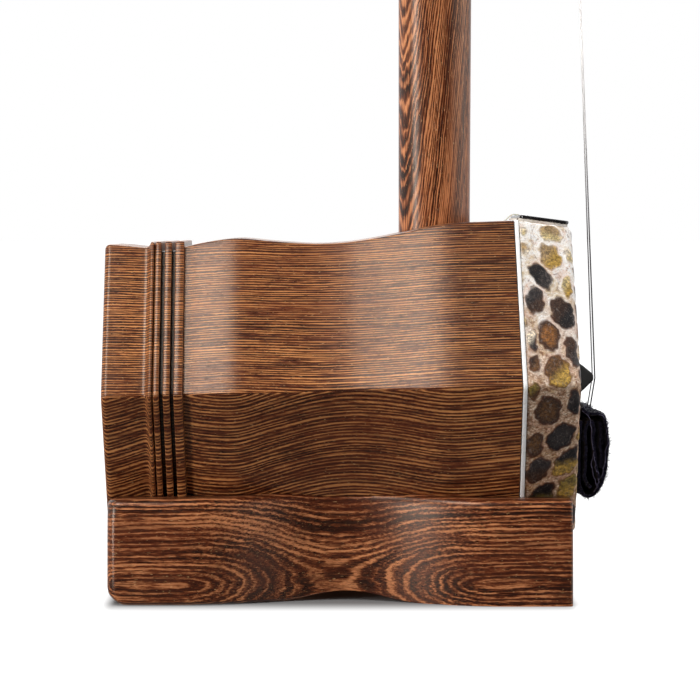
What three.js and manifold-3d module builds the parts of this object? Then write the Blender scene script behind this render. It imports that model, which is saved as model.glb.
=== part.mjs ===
// An erhu: a two-stringed fiddle with a hexagonal soundbox, standing on its base.
// Millimetres, +Z up. The origin is where the neck's axis meets the surface the base stands on.
// +X points to the player's front, where the skin is, and Y runs across the instrument.
import * as THREE from 'three';
import { mergeVertices } from 'three/addons/utils/BufferGeometryUtils.js';
import Module from 'manifold-3d';

const wasm = await Module();
wasm.setup();

// Fits
const GAP = 0.3;

// Soundbox: a regular hexagon with flat top and bottom, measured along its own axis
const BOX_AXIS_HEIGHT = 59.97;
const BOX_TILT = 0.028;
const BOX_REAR = -93.2;
const BOX_CAVITY_APOTHEM = 35.5;
const SKIN_FRONT = 37.8;
const SKIN_REAR = 22.7;
const SKIN_THICKNESS = 0.8;
const SKIN_REAR_APOTHEM = 45.0;
const SKIN_FRONT_APOTHEM = 42.9;
const SKIN_CORNER = 2.0;
const BINDING_WIDTH = 1.2;
const BINDING_APOTHEM = 45.2;
const WAVE_CREST = 45.2;
const WAVE_WAIST = 40.3;
const WAVE_REAR_CREST = 42.4;
const RING_APOTHEM = 42.0;
const RING_GROOVE_DEPTH = 1.3;
const RING_FRONT = -71.0;
const RING_RIDGES = [2.3, 1.9, 2.6];
const RING_GROOVES = [1.3, 1.2];
const RIM_APOTHEM = 41.6;

// Rear sound window
const WINDOW_REAR = -86;
const WINDOW_THICKNESS = 3;

// Identity plate on the skin's top
const PLATE_LENGTH = 13.6;
const PLATE_WIDTH = 40;
const PLATE_THICKNESS = 0.9;

// Neck: a flattened round bar that runs through the soundbox into the base
const NECK_BACK = -10.5;
const NECK_FRONT_LOW = 10.1;
const NECK_FRONT_HIGH = 10.6;
const NECK_WIDTH = 16.5;
const NECK_TOP = 722;
const NECK_SHOULDER = 30;
const TENON_BOTTOM = 8;
const TENON_LENGTH = 14;
const TENON_WIDTH = 11;
const NECK_SIDES = 24;

// Base
const BASE_REAR = -91.4;
const BASE_FRONT = 35.7;
const BASE_WALL_TOP = 29;
const BASE_HALF_WIDTH = 43;
const BASE_WAIST_HALF_WIDTH = 30;
const BASE_WAIST_X = -28;
const BASE_ARCH_HEIGHT = 2.4;
const BASE_ARCH_X = -25;
const BASE_ARCH_HALF_LENGTH = 20;
const BASE_SCREWS_X = [-19, -31];
const SCREW_BOTTOM = 2.7;
const SCREW_TOP = 13;
const SCREW_HEAD_RADIUS = 4.2;
const SCREW_HEAD_HEIGHT = 2.5;
const SCREW_SHANK_RADIUS = 1.9;

// Bridge, damper and strings
const BRIDGE_HEIGHT = 7.3;
const BRIDGE_Z = -0.5;
const BRIDGE_FOOT = [11.5, 21];
const BRIDGE_CREST = [1.5, 14];
const STRING_RADIUS = 0.35;
const STRING_AT_BRIDGE = [45.95, 60.4];
const STRING_AT_HOOK = [40.6, 16.6];
const STRING_HALF_SPACING = 3.7;
const NUT_CORD_Z = 445;
const NUT_CORD_HEIGHT = 8;
const STRING_AT_NUT_X = 32.2;
const STRING_HALF_SPACING_AT_NUT = 3.2;
const PAD_BOTTOM = 26.4;
const PAD_TOP = 50.9;
const PAD_FRONT = 49.6;
const PAD_HALF_WIDTH = 22;

// Tuning pegs
const LOWER_PEG_Z = 600;
const UPPER_PEG_Z = 690;
const PEG_TIP = 32;
const PEG_REAR = -121;
const PEG_SHAFT_RADIUS = 5.2;
const PEG_TAPER = 0.022;
const PEG_HOLE_CLEARANCE = 0.45;
const WINDING_X = [15.5, 22];
const WINDING_RADIUS = 6.5;

const COS_30 = Math.cos(Math.PI / 6);
const TAN_30 = Math.tan(Math.PI / 6);

const boxFrame = new THREE.Matrix4()
	.makeTranslation(0, 0, BOX_AXIS_HEIGHT)
	.multiply(new THREE.Matrix4().makeRotationY(-BOX_TILT));
const boxFrameInverse = boxFrame.clone().invert();

function material(color, roughness, metalness = 0) {
	return new THREE.MeshStandardMaterial({ color, roughness, metalness });
}

const materials = {
	boxWood: material(0x6b3d22, 0.4),
	neckWood: material(0x70401f, 0.4),
	baseWood: material(0x64361f, 0.38),
	pegWood: material(0x4a2a18, 0.4),
	darkWood: material(0x17110e, 0.35),
	skin: material(0xb0a077, 0.45),
	binding: material(0xf0ece0, 0.3),
	bone: material(0xe9dfc4, 0.35),
	plate: material(0x15161a, 0.3, 0.6),
	steel: material(0xc9cbd0, 0.25, 1),
	cloth: material(0x191a2c, 0.95),
	cord: material(0x7a1f1c, 0.8),
};

const erhu = new THREE.Group();
const soundbox = new THREE.Group();
soundbox.applyMatrix4(boxFrame);
erhu.add(soundbox);

function addPiece(parent, name, geometry, pieceMaterial) {
	const mesh = new THREE.Mesh(geometry, pieceMaterial);
	mesh.name = name;
	parent.add(mesh);
	return mesh;
}

// ---- Geometry helpers ----

// Keeps position only, merges shared vertices and turns every face outward.
function closedGeometry(geometry) {
	geometry.deleteAttribute('normal');
	geometry.deleteAttribute('uv');
	const merged = mergeVertices(geometry, 1e-4);
	const position = merged.getAttribute('position');
	const index = merged.getIndex().array;
	const corner = [new THREE.Vector3(), new THREE.Vector3(), new THREE.Vector3()];
	const kept = [];
	let volume = 0;
	for (let i = 0; i < index.length; i += 3) {
		const [a, b, c] = [index[i], index[i + 1], index[i + 2]];
		if (a === b || b === c || c === a) continue;
		kept.push([a, b, c]);
		[a, b, c].forEach((v, k) => corner[k].fromBufferAttribute(position, v));
		volume += corner[0].dot(corner[1].clone().cross(corner[2]));
	}
	merged.setIndex(kept.flatMap(([a, b, c]) => (volume < 0 ? [a, c, b] : [a, b, c])));
	return merged;
}

// Skins a row of convex rings, each with the same number of points, and caps both ends.
function loft(rings) {
	const sides = rings[0].length;
	const index = [];
	for (let r = 0; r < rings.length - 1; r++) {
		for (let s = 0; s < sides; s++) {
			const a = r * sides + s;
			const b = r * sides + ((s + 1) % sides);
			index.push(a, b, b + sides, a, b + sides, a + sides);
		}
	}
	const last = (rings.length - 1) * sides;
	for (let s = 1; s < sides - 1; s++) {
		index.push(0, s + 1, s);
		index.push(last, last + s, last + s + 1);
	}
	const geometry = new THREE.BufferGeometry().setFromPoints(rings.flat());
	geometry.setIndex(index);
	return closedGeometry(geometry);
}

// Turns a profile of [x, radius] points about the X axis.
function turned(profile, sides) {
	const points = profile.map(([x, radius]) => new THREE.Vector2(radius, x));
	const geometry = new THREE.LatheGeometry(points, sides);
	const alongX = new THREE.Matrix4().makeBasis(
		new THREE.Vector3(0, 0, 1),
		new THREE.Vector3(1, 0, 0),
		new THREE.Vector3(0, 1, 0),
	);
	return closedGeometry(geometry.applyMatrix4(alongX));
}

// The same, for a hexagon with corners on +Y and -Y, from [x, apothem] points.
function hexTurned(profile) {
	return turned(profile.map(([x, apothem]) => [x, apothem / COS_30]), 6);
}

function toSolid(geometry) {
	const vertProperties = Float32Array.from(geometry.getAttribute('position').array);
	const triVerts = Uint32Array.from(geometry.getIndex().array);
	return new wasm.Manifold(new wasm.Mesh({ numProp: 3, vertProperties, triVerts }));
}

function toGeometry(solid) {
	const mesh = solid.getMesh();
	const geometry = new THREE.BufferGeometry();
	geometry.setAttribute('position', new THREE.BufferAttribute(mesh.vertProperties, 3));
	geometry.setIndex([...mesh.triVerts]);
	return geometry;
}

function cut(geometry, cutters) {
	const start = toSolid(geometry);
	return toGeometry(cutters.reduce((solid, cutter) => solid.subtract(toSolid(cutter)), start));
}

function joined(geometries) {
	return toGeometry(geometries.map(toSolid).reduce((sum, next) => sum.add(next)));
}

// A ring in the XY plane, flattened round between two X limits.
function ovalRing(back, front, width, z, sides = NECK_SIDES) {
	const centre = (back + front) / 2;
	return Array.from({ length: sides }, (_, i) => {
		const turn = (2 * Math.PI * i) / sides;
		const x = centre + ((front - back) / 2) * Math.cos(turn);
		return new THREE.Vector3(x, (width / 2) * Math.sin(turn), z);
	});
}

// A smooth rise from 0 to 1 and back, for |t| up to 1.
function swell(t) {
	return Math.abs(t) < 1 ? Math.cos((Math.PI * t) / 2) ** 2 : 0;
}

function smoothLine(points, steps) {
	const curve = new THREE.SplineCurve(points.map(([x, y]) => new THREE.Vector2(x, y)));
	return curve.getPoints(steps).map((p) => [p.x, p.y]);
}

// ---- Soundbox outline, from the rear rim to the front edge ----

function rimProfile() {
	return [
		[BOX_REAR, RIM_APOTHEM - 1],
		[BOX_REAR + 0.9, RIM_APOTHEM],
		[-88, RIM_APOTHEM - 0.4],
	];
}

function ringProfile() {
	const profile = [];
	const slant = 0.15;
	let x = RING_FRONT;
	RING_RIDGES.forEach((width, i) => {
		profile.push([x - slant, RING_APOTHEM], [x - width + slant, RING_APOTHEM]);
		x -= width;
		if (i < RING_GROOVES.length) {
			const floor = RING_APOTHEM - RING_GROOVE_DEPTH;
			profile.push([x - slant, floor], [x - RING_GROOVES[i] + slant, floor]);
			x -= RING_GROOVES[i];
		}
	});
	profile.push([x - 1.2, RIM_APOTHEM - 1.1]);
	return profile.reverse();
}

function waveProfile() {
	return smoothLine([
		[RING_FRONT + 0.1, WAVE_WAIST],
		[-65, WAVE_REAR_CREST - 0.9],
		[-56, WAVE_REAR_CREST],
		[-46, WAVE_WAIST + 1],
		[-34, WAVE_WAIST],
		[-23, WAVE_WAIST + 0.7],
		[-1, WAVE_CREST - 1],
		[17, WAVE_CREST - 0.1],
		[SKIN_REAR - BINDING_WIDTH - 0.1, WAVE_CREST],
	], 16);
}

// The wood under the binding and the skin, set in by their thickness.
function skinSeatProfile() {
	const inset = SKIN_THICKNESS + GAP;
	return [
		[SKIN_REAR - BINDING_WIDTH, SKIN_REAR_APOTHEM - inset],
		[SKIN_REAR, SKIN_REAR_APOTHEM - inset],
		[SKIN_FRONT - SKIN_CORNER, SKIN_FRONT_APOTHEM + 0.2 - inset],
		[SKIN_FRONT - inset, SKIN_FRONT_APOTHEM - SKIN_CORNER - 0.2],
	];
}

const boardProfile = [...rimProfile(), ...ringProfile(), ...waveProfile(), ...skinSeatProfile()];

// One of the six mitred boards; direction is the outward turn of its face about the X axis.
function boardGeometry(direction) {
	const normal = [Math.cos(direction), Math.sin(direction)];
	const across = [-Math.sin(direction), Math.cos(direction)];
	const mitre = GAP / 2 / COS_30;
	const place = (x, side, apothem) => {
		const half = side * (apothem * TAN_30 - mitre);
		const y = apothem * normal[0] + half * across[0];
		const z = apothem * normal[1] + half * across[1];
		return new THREE.Vector3(x, y, z);
	};
	return loft(boardProfile.map(([x, apothem]) => [
		place(x, 1, apothem),
		place(x, -1, apothem),
		place(x, -1, BOX_CAVITY_APOTHEM),
		place(x, 1, BOX_CAVITY_APOTHEM),
	]));
}

function neckHole(bottom, top) {
	const rings = [bottom, top].map((z) =>
		ovalRing(NECK_BACK - GAP, NECK_FRONT_LOW + 0.2 + GAP, NECK_WIDTH + 2 * GAP, z));
	return loft(rings);
}

function tenonHole(bottom, top) {
	const half = TENON_LENGTH / 2 + GAP;
	return loft([bottom, top].map((z) => ovalRing(-half, half, TENON_WIDTH + 2 * GAP, z)));
}

function addBoards() {
	const names = ['far_upper', 'top', 'near_upper', 'near_lower', 'bottom', 'far_lower'];
	const holes = {
		top: neckHole(80, 120).applyMatrix4(boxFrameInverse),
		bottom: tenonHole(5, NECK_SHOULDER).applyMatrix4(boxFrameInverse),
	};
	names.forEach((name, i) => {
		const direction = THREE.MathUtils.degToRad(30 + 60 * i);
		const board = boardGeometry(direction);
		const geometry = holes[name] ? cut(board, [holes[name]]) : board;
		addPiece(soundbox, `soundbox_${name}_board`, geometry, materials.boxWood);
	});
}

// ---- Skin, binding and plate ----

function skinOutline(inset) {
	return [
		[SKIN_REAR, SKIN_REAR_APOTHEM - inset],
		[SKIN_FRONT - SKIN_CORNER, SKIN_FRONT_APOTHEM + 0.2 - inset],
		[SKIN_FRONT - SKIN_CORNER * 0.3, SKIN_FRONT_APOTHEM - SKIN_CORNER * 0.3 - inset],
		[SKIN_FRONT - inset, SKIN_FRONT_APOTHEM - SKIN_CORNER - (inset ? 0.2 : 0)],
		[SKIN_FRONT - inset, 0],
	];
}

function addSkin() {
	const profile = [...skinOutline(0), ...skinOutline(SKIN_THICKNESS).reverse()];
	profile.push(profile[0]);
	addPiece(soundbox, 'python_skin', hexTurned(profile), materials.skin);

	const rear = SKIN_REAR - BINDING_WIDTH + 0.05;
	const front = SKIN_REAR - GAP;
	const inner = SKIN_REAR_APOTHEM - SKIN_THICKNESS;
	const binding = hexTurned([
		[rear, inner],
		[rear, BINDING_APOTHEM],
		[front, BINDING_APOTHEM],
		[front, inner],
		[rear, inner],
	]);
	addPiece(soundbox, 'skin_edge_binding', binding, materials.binding);
}

function addPlate() {
	const slope = (SKIN_REAR_APOTHEM - SKIN_FRONT_APOTHEM) / (SKIN_FRONT - SKIN_REAR - SKIN_CORNER);
	const geometry = new THREE.BoxGeometry(PLATE_LENGTH, PLATE_WIDTH, PLATE_THICKNESS);
	const plate = addPiece(soundbox, 'identity_plate', geometry, materials.plate);
	const middle = SKIN_REAR + PLATE_LENGTH / 2;
	const surface = SKIN_REAR_APOTHEM - (PLATE_LENGTH / 2) * slope;
	plate.position.set(middle, 0, surface + GAP + PLATE_THICKNESS / 2);
	plate.rotation.y = Math.atan(slope);
}

// ---- Rear sound window: a hexagonal lattice with a round centre ----

function hexPath(shape, apothem) {
	for (let i = 0; i < 6; i++) {
		const turn = (Math.PI * i) / 3;
		const radius = apothem / COS_30;
		const point = [radius * Math.cos(turn), radius * Math.sin(turn)];
		if (i === 0) shape.moveTo(...point);
		else shape.lineTo(...point);
	}
	shape.closePath();
	return shape;
}

// An opening between two radii and two turns, with straight edges.
function fanHole(inner, outer, from, to) {
	const hole = new THREE.Path();
	[[inner, from], [outer, from], [outer, (from + to) / 2], [outer, to], [inner, to]]
		.forEach(([radius, turn], i) => {
			const point = [radius * Math.cos(turn), radius * Math.sin(turn)];
			if (i === 0) hole.moveTo(...point);
			else hole.lineTo(...point);
		});
	hole.closePath();
	return hole;
}

function addWindow() {
	const shape = hexPath(new THREE.Shape(), BOX_CAVITY_APOTHEM - GAP);
	for (let i = 0; i < 6; i++) {
		const turn = (Math.PI * i) / 3;
		shape.holes.push(fanHole(6, 13, turn - 0.4, turn + 0.4));
		shape.holes.push(fanHole(17, 31, turn - 0.45, turn - 0.06));
		shape.holes.push(fanHole(17, 31, turn + 0.06, turn + 0.45));
	}
	const geometry = new THREE.ExtrudeGeometry(shape, { depth: WINDOW_THICKNESS, bevelEnabled: false });
	const alongX = new THREE.Matrix4().makeBasis(
		new THREE.Vector3(0, 1, 0),
		new THREE.Vector3(0, 0, 1),
		new THREE.Vector3(1, 0, 0),
	);
	geometry.applyMatrix4(alongX).translate(WINDOW_REAR, 0, 0);
	addPiece(soundbox, 'rear_sound_window', closedGeometry(geometry), materials.darkWood);
}

// ---- Neck and head ----

function pegHole(z) {
	const radius = (x) => PEG_SHAFT_RADIUS - PEG_TAPER * x + PEG_HOLE_CLEARANCE;
	const ends = [-15, 15];
	return turned([[ends[0], 0], ...ends.map((x) => [x, radius(x)]), [ends[1], 0]], 24)
		.translate(0, 0, z);
}

function addNeck() {
	const half = TENON_LENGTH / 2;
	const rings = [
		ovalRing(-half, half, TENON_WIDTH, TENON_BOTTOM),
		ovalRing(-half, half, TENON_WIDTH, NECK_SHOULDER),
		ovalRing(NECK_BACK, NECK_FRONT_LOW, NECK_WIDTH, NECK_SHOULDER + 0.1),
		ovalRing(NECK_BACK, NECK_FRONT_LOW, NECK_WIDTH, 105),
		ovalRing(NECK_BACK, NECK_FRONT_HIGH, NECK_WIDTH, 180),
		ovalRing(NECK_BACK, NECK_FRONT_HIGH, NECK_WIDTH, NECK_TOP),
	];
	const geometry = cut(loft(rings), [pegHole(LOWER_PEG_Z), pegHole(UPPER_PEG_Z)]);
	addPiece(erhu, 'neck', geometry, materials.neckWood);
}

// The head sweeps back from the neck and ends in a bone inlay.
const headLine = new THREE.CatmullRomCurve3([
	new THREE.Vector3(0, 0, NECK_TOP),
	new THREE.Vector3(-0.5, 0, 745),
	new THREE.Vector3(-7, 0, 770),
	new THREE.Vector3(-21, 0, 791),
	new THREE.Vector3(-38, 0, 804),
]);

function headRing(t) {
	const centre = headLine.getPointAt(t);
	const tangent = headLine.getTangentAt(t);
	const depth = THREE.MathUtils.lerp(NECK_FRONT_HIGH - NECK_BACK, 26, t);
	const width = THREE.MathUtils.lerp(NECK_WIDTH, 18, t);
	return ovalRing(-depth / 2, depth / 2, width, 0, 16).map((p) =>
		new THREE.Vector3(centre.x + p.x * tangent.z, p.y, centre.z - p.x * tangent.x));
}

function addHead() {
	const steps = 8;
	const inlayStart = 0.965;
	const gap = 0.004;
	const turns = Array.from({ length: steps + 1 }, (_, i) => (inlayStart * i) / steps);
	const head = loft(turns.map(headRing));
	head.translate(0, 0, GAP);
	addPiece(erhu, 'head', head, materials.neckWood);
	const inlay = loft([inlayStart + gap, 1].map(headRing)).translate(0, 0, GAP);
	addPiece(erhu, 'head_inlay', inlay, materials.bone);
}

// ---- Base: a waisted block with an arched underside and a cradle for the soundbox ----

function baseRing(x, endInset) {
	const waist = swell((x - BASE_WAIST_X) / 45);
	const half = THREE.MathUtils.lerp(BASE_HALF_WIDTH, BASE_WAIST_HALF_WIDTH, waist) - endInset;
	const arch = BASE_ARCH_HEIGHT * swell((x - BASE_ARCH_X) / BASE_ARCH_HALF_LENGTH);
	const bottom = arch + endInset * 0.8;
	const top = BASE_WALL_TOP + waist - endInset * 0.5;
	const profile = [
		[half - 6, bottom],
		[half - 2.5, bottom + 1],
		[half - 0.8, bottom + 4],
		[half, bottom + 12],
		[half - 0.4, top - 5],
		[half - 1.2, top - 1],
		[half - 2.5, top],
	];
	const right = profile.map(([y, z]) => new THREE.Vector3(x, y, z));
	const left = profile.map(([y, z]) => new THREE.Vector3(x, -y, z)).reverse();
	return [...right, ...left];
}

// The screws end below the soundbox, inside the base.
function screwProfile(clearance) {
	const head = SCREW_HEAD_RADIUS + clearance;
	const shank = SCREW_SHANK_RADIUS + clearance;
	const headTop = SCREW_BOTTOM + SCREW_HEAD_HEIGHT + clearance;
	return [
		[SCREW_BOTTOM - clearance, 0],
		[SCREW_BOTTOM - clearance, head],
		[headTop, head],
		[headTop + 0.2, shank],
		[SCREW_TOP + clearance, shank],
		[SCREW_TOP + clearance, 0],
	];
}

// The profile turned about X is stood upright at x.
function uprightScrew(x, clearance) {
	const geometry = turned(screwProfile(clearance), 12);
	return geometry.rotateY(-Math.PI / 2).translate(x, 0, 0);
}

// The soundbox's outline with clearance, and with the ring as one plain band.
function cradleProfile() {
	const ringLength = [...RING_RIDGES, ...RING_GROOVES].reduce((sum, width) => sum + width);
	const wave = waveProfile().slice(1).map(([x, apothem]) => [x, apothem + 2 * GAP]);
	return [
		[BOX_REAR - 5, 0],
		[BOX_REAR - 5, RIM_APOTHEM + GAP],
		[RING_FRONT - ringLength - 2, RIM_APOTHEM + GAP],
		[RING_FRONT - ringLength, RING_APOTHEM + 2 * GAP],
		[RING_FRONT + GAP, RING_APOTHEM + 2 * GAP],
		...wave.slice(0, -1),
		[SKIN_REAR - BINDING_WIDTH - GAP, BINDING_APOTHEM + 2 * GAP],
		[SKIN_REAR, BINDING_APOTHEM + 2 * GAP],
		[SKIN_FRONT + 5, SKIN_FRONT_APOTHEM - 0.3 + GAP],
		[SKIN_FRONT + 5, 0],
	];
}

function addBase() {
	const steps = 20;
	const length = BASE_FRONT - BASE_REAR;
	const rings = [baseRing(BASE_REAR, 3.2), baseRing(BASE_REAR + 0.6, 1.4), baseRing(BASE_REAR + 2.6, 0.2)];
	for (let i = 1; i < steps; i++) rings.push(baseRing(BASE_REAR + (length * i) / steps, 0));
	rings.push(baseRing(BASE_FRONT - 0.9, 0), baseRing(BASE_FRONT, 0.9));

	const cradle = hexTurned(cradleProfile()).applyMatrix4(boxFrame);
	const mortise = tenonHole(TENON_BOTTOM - GAP, NECK_SHOULDER);
	const screwHoles = BASE_SCREWS_X.map((x) => {
		const mouth = SCREW_HEAD_RADIUS + GAP;
		const recess = turned([[-1, 0], [-1, mouth], [SCREW_BOTTOM, mouth], [SCREW_BOTTOM, 0]], 12);
		return joined([uprightScrew(x, GAP), recess.rotateY(-Math.PI / 2).translate(x, 0, 0)]);
	});
	addPiece(erhu, 'base', cut(loft(rings), [cradle, mortise, ...screwHoles]), materials.baseWood);
	BASE_SCREWS_X.forEach((x, i) =>
		addPiece(erhu, `base_screw_${i + 1}`, uprightScrew(x, 0), materials.steel));
}

// ---- Bridge and damper pad, on the face of the skin ----

function addBridge() {
	const [footHeight, footWidth] = BRIDGE_FOOT;
	const [crestHeight, crestWidth] = BRIDGE_CREST;
	const steps = [
		[0, footHeight, footWidth],
		[1.8, footHeight - 0.6, footWidth - 0.4],
		[4.6, 7, 17],
		[BRIDGE_HEIGHT - 0.4, crestHeight + 0.8, crestWidth],
		[BRIDGE_HEIGHT, crestHeight - 0.3, crestWidth - 0.6],
	];
	const rings = steps.map(([x, height, width]) =>
		[[1, 1], [1, -1], [-1, -1], [-1, 1]].map(([sideY, sideZ]) =>
			new THREE.Vector3(x, (sideY * width) / 2, (sideZ * height) / 2)));
	const bridge = addPiece(soundbox, 'bridge', loft(rings), materials.darkWood);
	bridge.position.set(SKIN_FRONT + GAP, 0, BRIDGE_Z);
}

// One section across the pad; its back follows the leaning skin and frontAt gives its front.
function padRing(y, frontAt) {
	const middle = (PAD_BOTTOM + PAD_TOP) / 2;
	const half = (PAD_TOP - PAD_BOTTOM) / 2;
	const outline = [
		[0, 0.9], [0, -0.9], [0.25, -1], [0.7, -0.9], [0.95, -0.6],
		[1, -0.1], [1, 0.4], [0.85, 0.85], [0.55, 1], [0.2, 1],
	];
	return outline.map(([depth, height]) => {
		const z = middle + half * height;
		const back = SKIN_FRONT + BOX_TILT * (BOX_AXIS_HEIGHT - z) + GAP;
		return new THREE.Vector3(back + (frontAt(z) - back) * depth, y, z);
	});
}

// The strings press the pad's middle nearly flat.
function addPad() {
	const stringSlope = (STRING_AT_BRIDGE[0] - STRING_AT_HOOK[0]) / (STRING_AT_BRIDGE[1] - STRING_AT_HOOK[1]);
	const pressed = (z) =>
		STRING_AT_HOOK[0] + (z - STRING_AT_HOOK[1]) * stringSlope - STRING_RADIUS - GAP;
	const full = () => PAD_FRONT;
	const edge = () => PAD_FRONT - 1.5;
	const rings = [
		padRing(-PAD_HALF_WIDTH, edge),
		padRing(-PAD_HALF_WIDTH + 1.5, full),
		padRing(-9, full),
		padRing(-5.5, pressed),
		padRing(5.5, pressed),
		padRing(9, full),
		padRing(PAD_HALF_WIDTH - 1.5, full),
		padRing(PAD_HALF_WIDTH, edge),
	];
	addPiece(erhu, 'damper_pad', loft(rings), materials.cloth);
}

// ---- Strings, string hook and the cord nut ----

// A round bar through the given points, with a ring at each of them.
function bar(points, radius, sides = 8) {
	const rings = points.map((point, i) => {
		const before = points[Math.max(i - 1, 0)];
		const after = points[Math.min(i + 1, points.length - 1)];
		const along = after.clone().sub(before).normalize();
		const turn = new THREE.Quaternion().setFromUnitVectors(new THREE.Vector3(0, 0, 1), along);
		return Array.from({ length: sides }, (_, s) => {
			const angle = (2 * Math.PI * s) / sides;
			const offset = new THREE.Vector3(radius * Math.cos(angle), radius * Math.sin(angle), 0);
			return offset.applyQuaternion(turn).add(point);
		});
	});
	return loft(rings);
}

function addString(name, side, pegZ) {
	const tangent = WINDING_RADIUS + STRING_RADIUS + GAP;
	const windingMiddle = (WINDING_X[0] + WINDING_X[1]) / 2;
	const [bridgeX, bridgeZ] = STRING_AT_BRIDGE;
	const [hookX, hookZ] = STRING_AT_HOOK;
	const points = [
		new THREE.Vector3(hookX, side * STRING_HALF_SPACING, hookZ),
		new THREE.Vector3(bridgeX - 0.18, side * STRING_HALF_SPACING, bridgeZ - 1),
		new THREE.Vector3(bridgeX, side * STRING_HALF_SPACING, bridgeZ),
		new THREE.Vector3(bridgeX - 0.04, side * STRING_HALF_SPACING, bridgeZ + 1),
		new THREE.Vector3(STRING_AT_NUT_X, side * STRING_HALF_SPACING_AT_NUT, NUT_CORD_Z),
		new THREE.Vector3(windingMiddle, side * tangent, pegZ),
	];
	addPiece(erhu, name, bar(points, STRING_RADIUS), materials.steel);
}

// A plate on the base's front end, with a headed pin for each string.
function addStringHook() {
	const plateFront = BASE_FRONT + GAP + 1.2;
	const plate = new THREE.BoxGeometry(1.2, 13, 8).translate(plateFront - 0.6, 0, 12);
	const parts = [closedGeometry(plate)];
	const pinEnd = STRING_AT_HOOK[0] + 0.7;
	const pinZ = STRING_AT_HOOK[1] - STRING_RADIUS - 0.9 - GAP;
	for (const side of [-1, 1]) {
		const pin = turned([
			[plateFront - 0.2, 0],
			[plateFront - 0.2, 0.8],
			[pinEnd - 0.5, 0.8],
			[pinEnd - 0.4, 1.1],
			[pinEnd, 1.1],
			[pinEnd, 0],
		], 12);
		parts.push(pin.translate(0, side * STRING_HALF_SPACING, pinZ));
	}
	addPiece(erhu, 'string_hook', joined(parts), materials.steel);
}

// The nut is a cord wound round the neck and drawn forward round both strings.
function nutOutline(shape, clearance) {
	const neckHalf = (NECK_FRONT_HIGH - NECK_BACK) / 2 + clearance;
	const neckMiddle = (NECK_FRONT_HIGH + NECK_BACK) / 2;
	const loop = STRING_HALF_SPACING_AT_NUT + STRING_RADIUS + clearance;
	shape.moveTo(STRING_AT_NUT_X, -loop);
	shape.absarc(STRING_AT_NUT_X, 0, loop, -Math.PI / 2, Math.PI / 2);
	shape.lineTo(neckMiddle, NECK_WIDTH / 2 + clearance);
	shape.absellipse(
		neckMiddle, 0, neckHalf, NECK_WIDTH / 2 + clearance, Math.PI / 2, (3 * Math.PI) / 2);
	shape.closePath();
	return shape;
}

function addNutCord() {
	const shape = nutOutline(new THREE.Shape(), 1.4 + GAP);
	shape.holes.push(nutOutline(new THREE.Path(), GAP));
	const geometry = new THREE.ExtrudeGeometry(shape, {
		depth: NUT_CORD_HEIGHT,
		bevelEnabled: false,
		curveSegments: 8,
	});
	geometry.translate(0, 0, NUT_CORD_Z - NUT_CORD_HEIGHT / 2);
	addPiece(erhu, 'nut_cord', closedGeometry(geometry), materials.cord);
}

// ---- Tuning pegs: each turns in the neck with its end cap and its string winding ----

function addPeg(name, z) {
	const peg = new THREE.Group();
	peg.position.set(0, 0, z);
	erhu.add(peg);

	const radius = (x) => PEG_SHAFT_RADIUS - PEG_TAPER * x;
	const shaft = [
		[PEG_TIP, 0],
		[PEG_TIP, radius(PEG_TIP) - 1],
		[PEG_TIP - 1, radius(PEG_TIP)],
		[-13, radius(-13)],
	];
	const handle = [
		[-14.5, 7.5], [-18, 9], [-22, 7.6], [-30, 8.6], [-55, 10.4], [-80, 12],
		[-104, 13], [-114, 12.4], [-119, 9.5], [PEG_REAR, 6], [PEG_REAR, 0],
	];
	addPiece(peg, `${name}_peg`, turned([...shaft, ...handle], 16), materials.pegWood);

	const cap = turned([
		[PEG_REAR - GAP, 0],
		[PEG_REAR - GAP, 5.4],
		[PEG_REAR - 3, 4.6],
		[PEG_REAR - 5, 2.4],
		[PEG_REAR - 5.4, 0],
	], 16);
	addPiece(peg, `${name}_peg_end_cap`, cap, materials.bone);

	const bore = radius(WINDING_X[0]) + GAP;
	const winding = turned([
		[WINDING_X[0], bore],
		[WINDING_X[0], WINDING_RADIUS],
		[WINDING_X[1], WINDING_RADIUS],
		[WINDING_X[1], bore],
		[WINDING_X[0], bore],
	], 24);
	addPiece(peg, `${name}_peg_string_winding`, winding, materials.steel);
}

addBoards();
addSkin();
addPlate();
addWindow();
addNeck();
addHead();
addBase();
addBridge();
addPad();
addString('outer_string', 1, LOWER_PEG_Z);
addString('inner_string', -1, UPPER_PEG_Z);
addStringHook();
addNutCord();
addPeg('lower', LOWER_PEG_Z);
addPeg('upper', UPPER_PEG_Z);

export default erhu;
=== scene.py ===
"""An erhu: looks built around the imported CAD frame. Lengths here are in millimetres unless said."""
import math
from dataclasses import dataclass

import bmesh
import bpy
import numpy as np
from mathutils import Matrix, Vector


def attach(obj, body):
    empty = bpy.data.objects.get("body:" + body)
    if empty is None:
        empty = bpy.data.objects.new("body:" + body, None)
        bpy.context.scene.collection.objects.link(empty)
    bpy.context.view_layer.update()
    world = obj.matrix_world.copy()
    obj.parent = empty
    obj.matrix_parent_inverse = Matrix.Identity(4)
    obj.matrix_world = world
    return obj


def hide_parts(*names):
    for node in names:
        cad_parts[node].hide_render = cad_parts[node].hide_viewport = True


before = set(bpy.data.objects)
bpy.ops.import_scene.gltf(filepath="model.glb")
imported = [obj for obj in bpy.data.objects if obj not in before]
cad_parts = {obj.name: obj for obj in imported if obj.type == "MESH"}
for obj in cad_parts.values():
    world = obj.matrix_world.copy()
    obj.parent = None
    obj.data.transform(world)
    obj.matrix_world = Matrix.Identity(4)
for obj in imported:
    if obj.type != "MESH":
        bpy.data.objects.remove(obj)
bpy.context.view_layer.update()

MM = 0.001

# ---- Camera: level, square to the instrument's side, 0.8 m away ----

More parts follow.
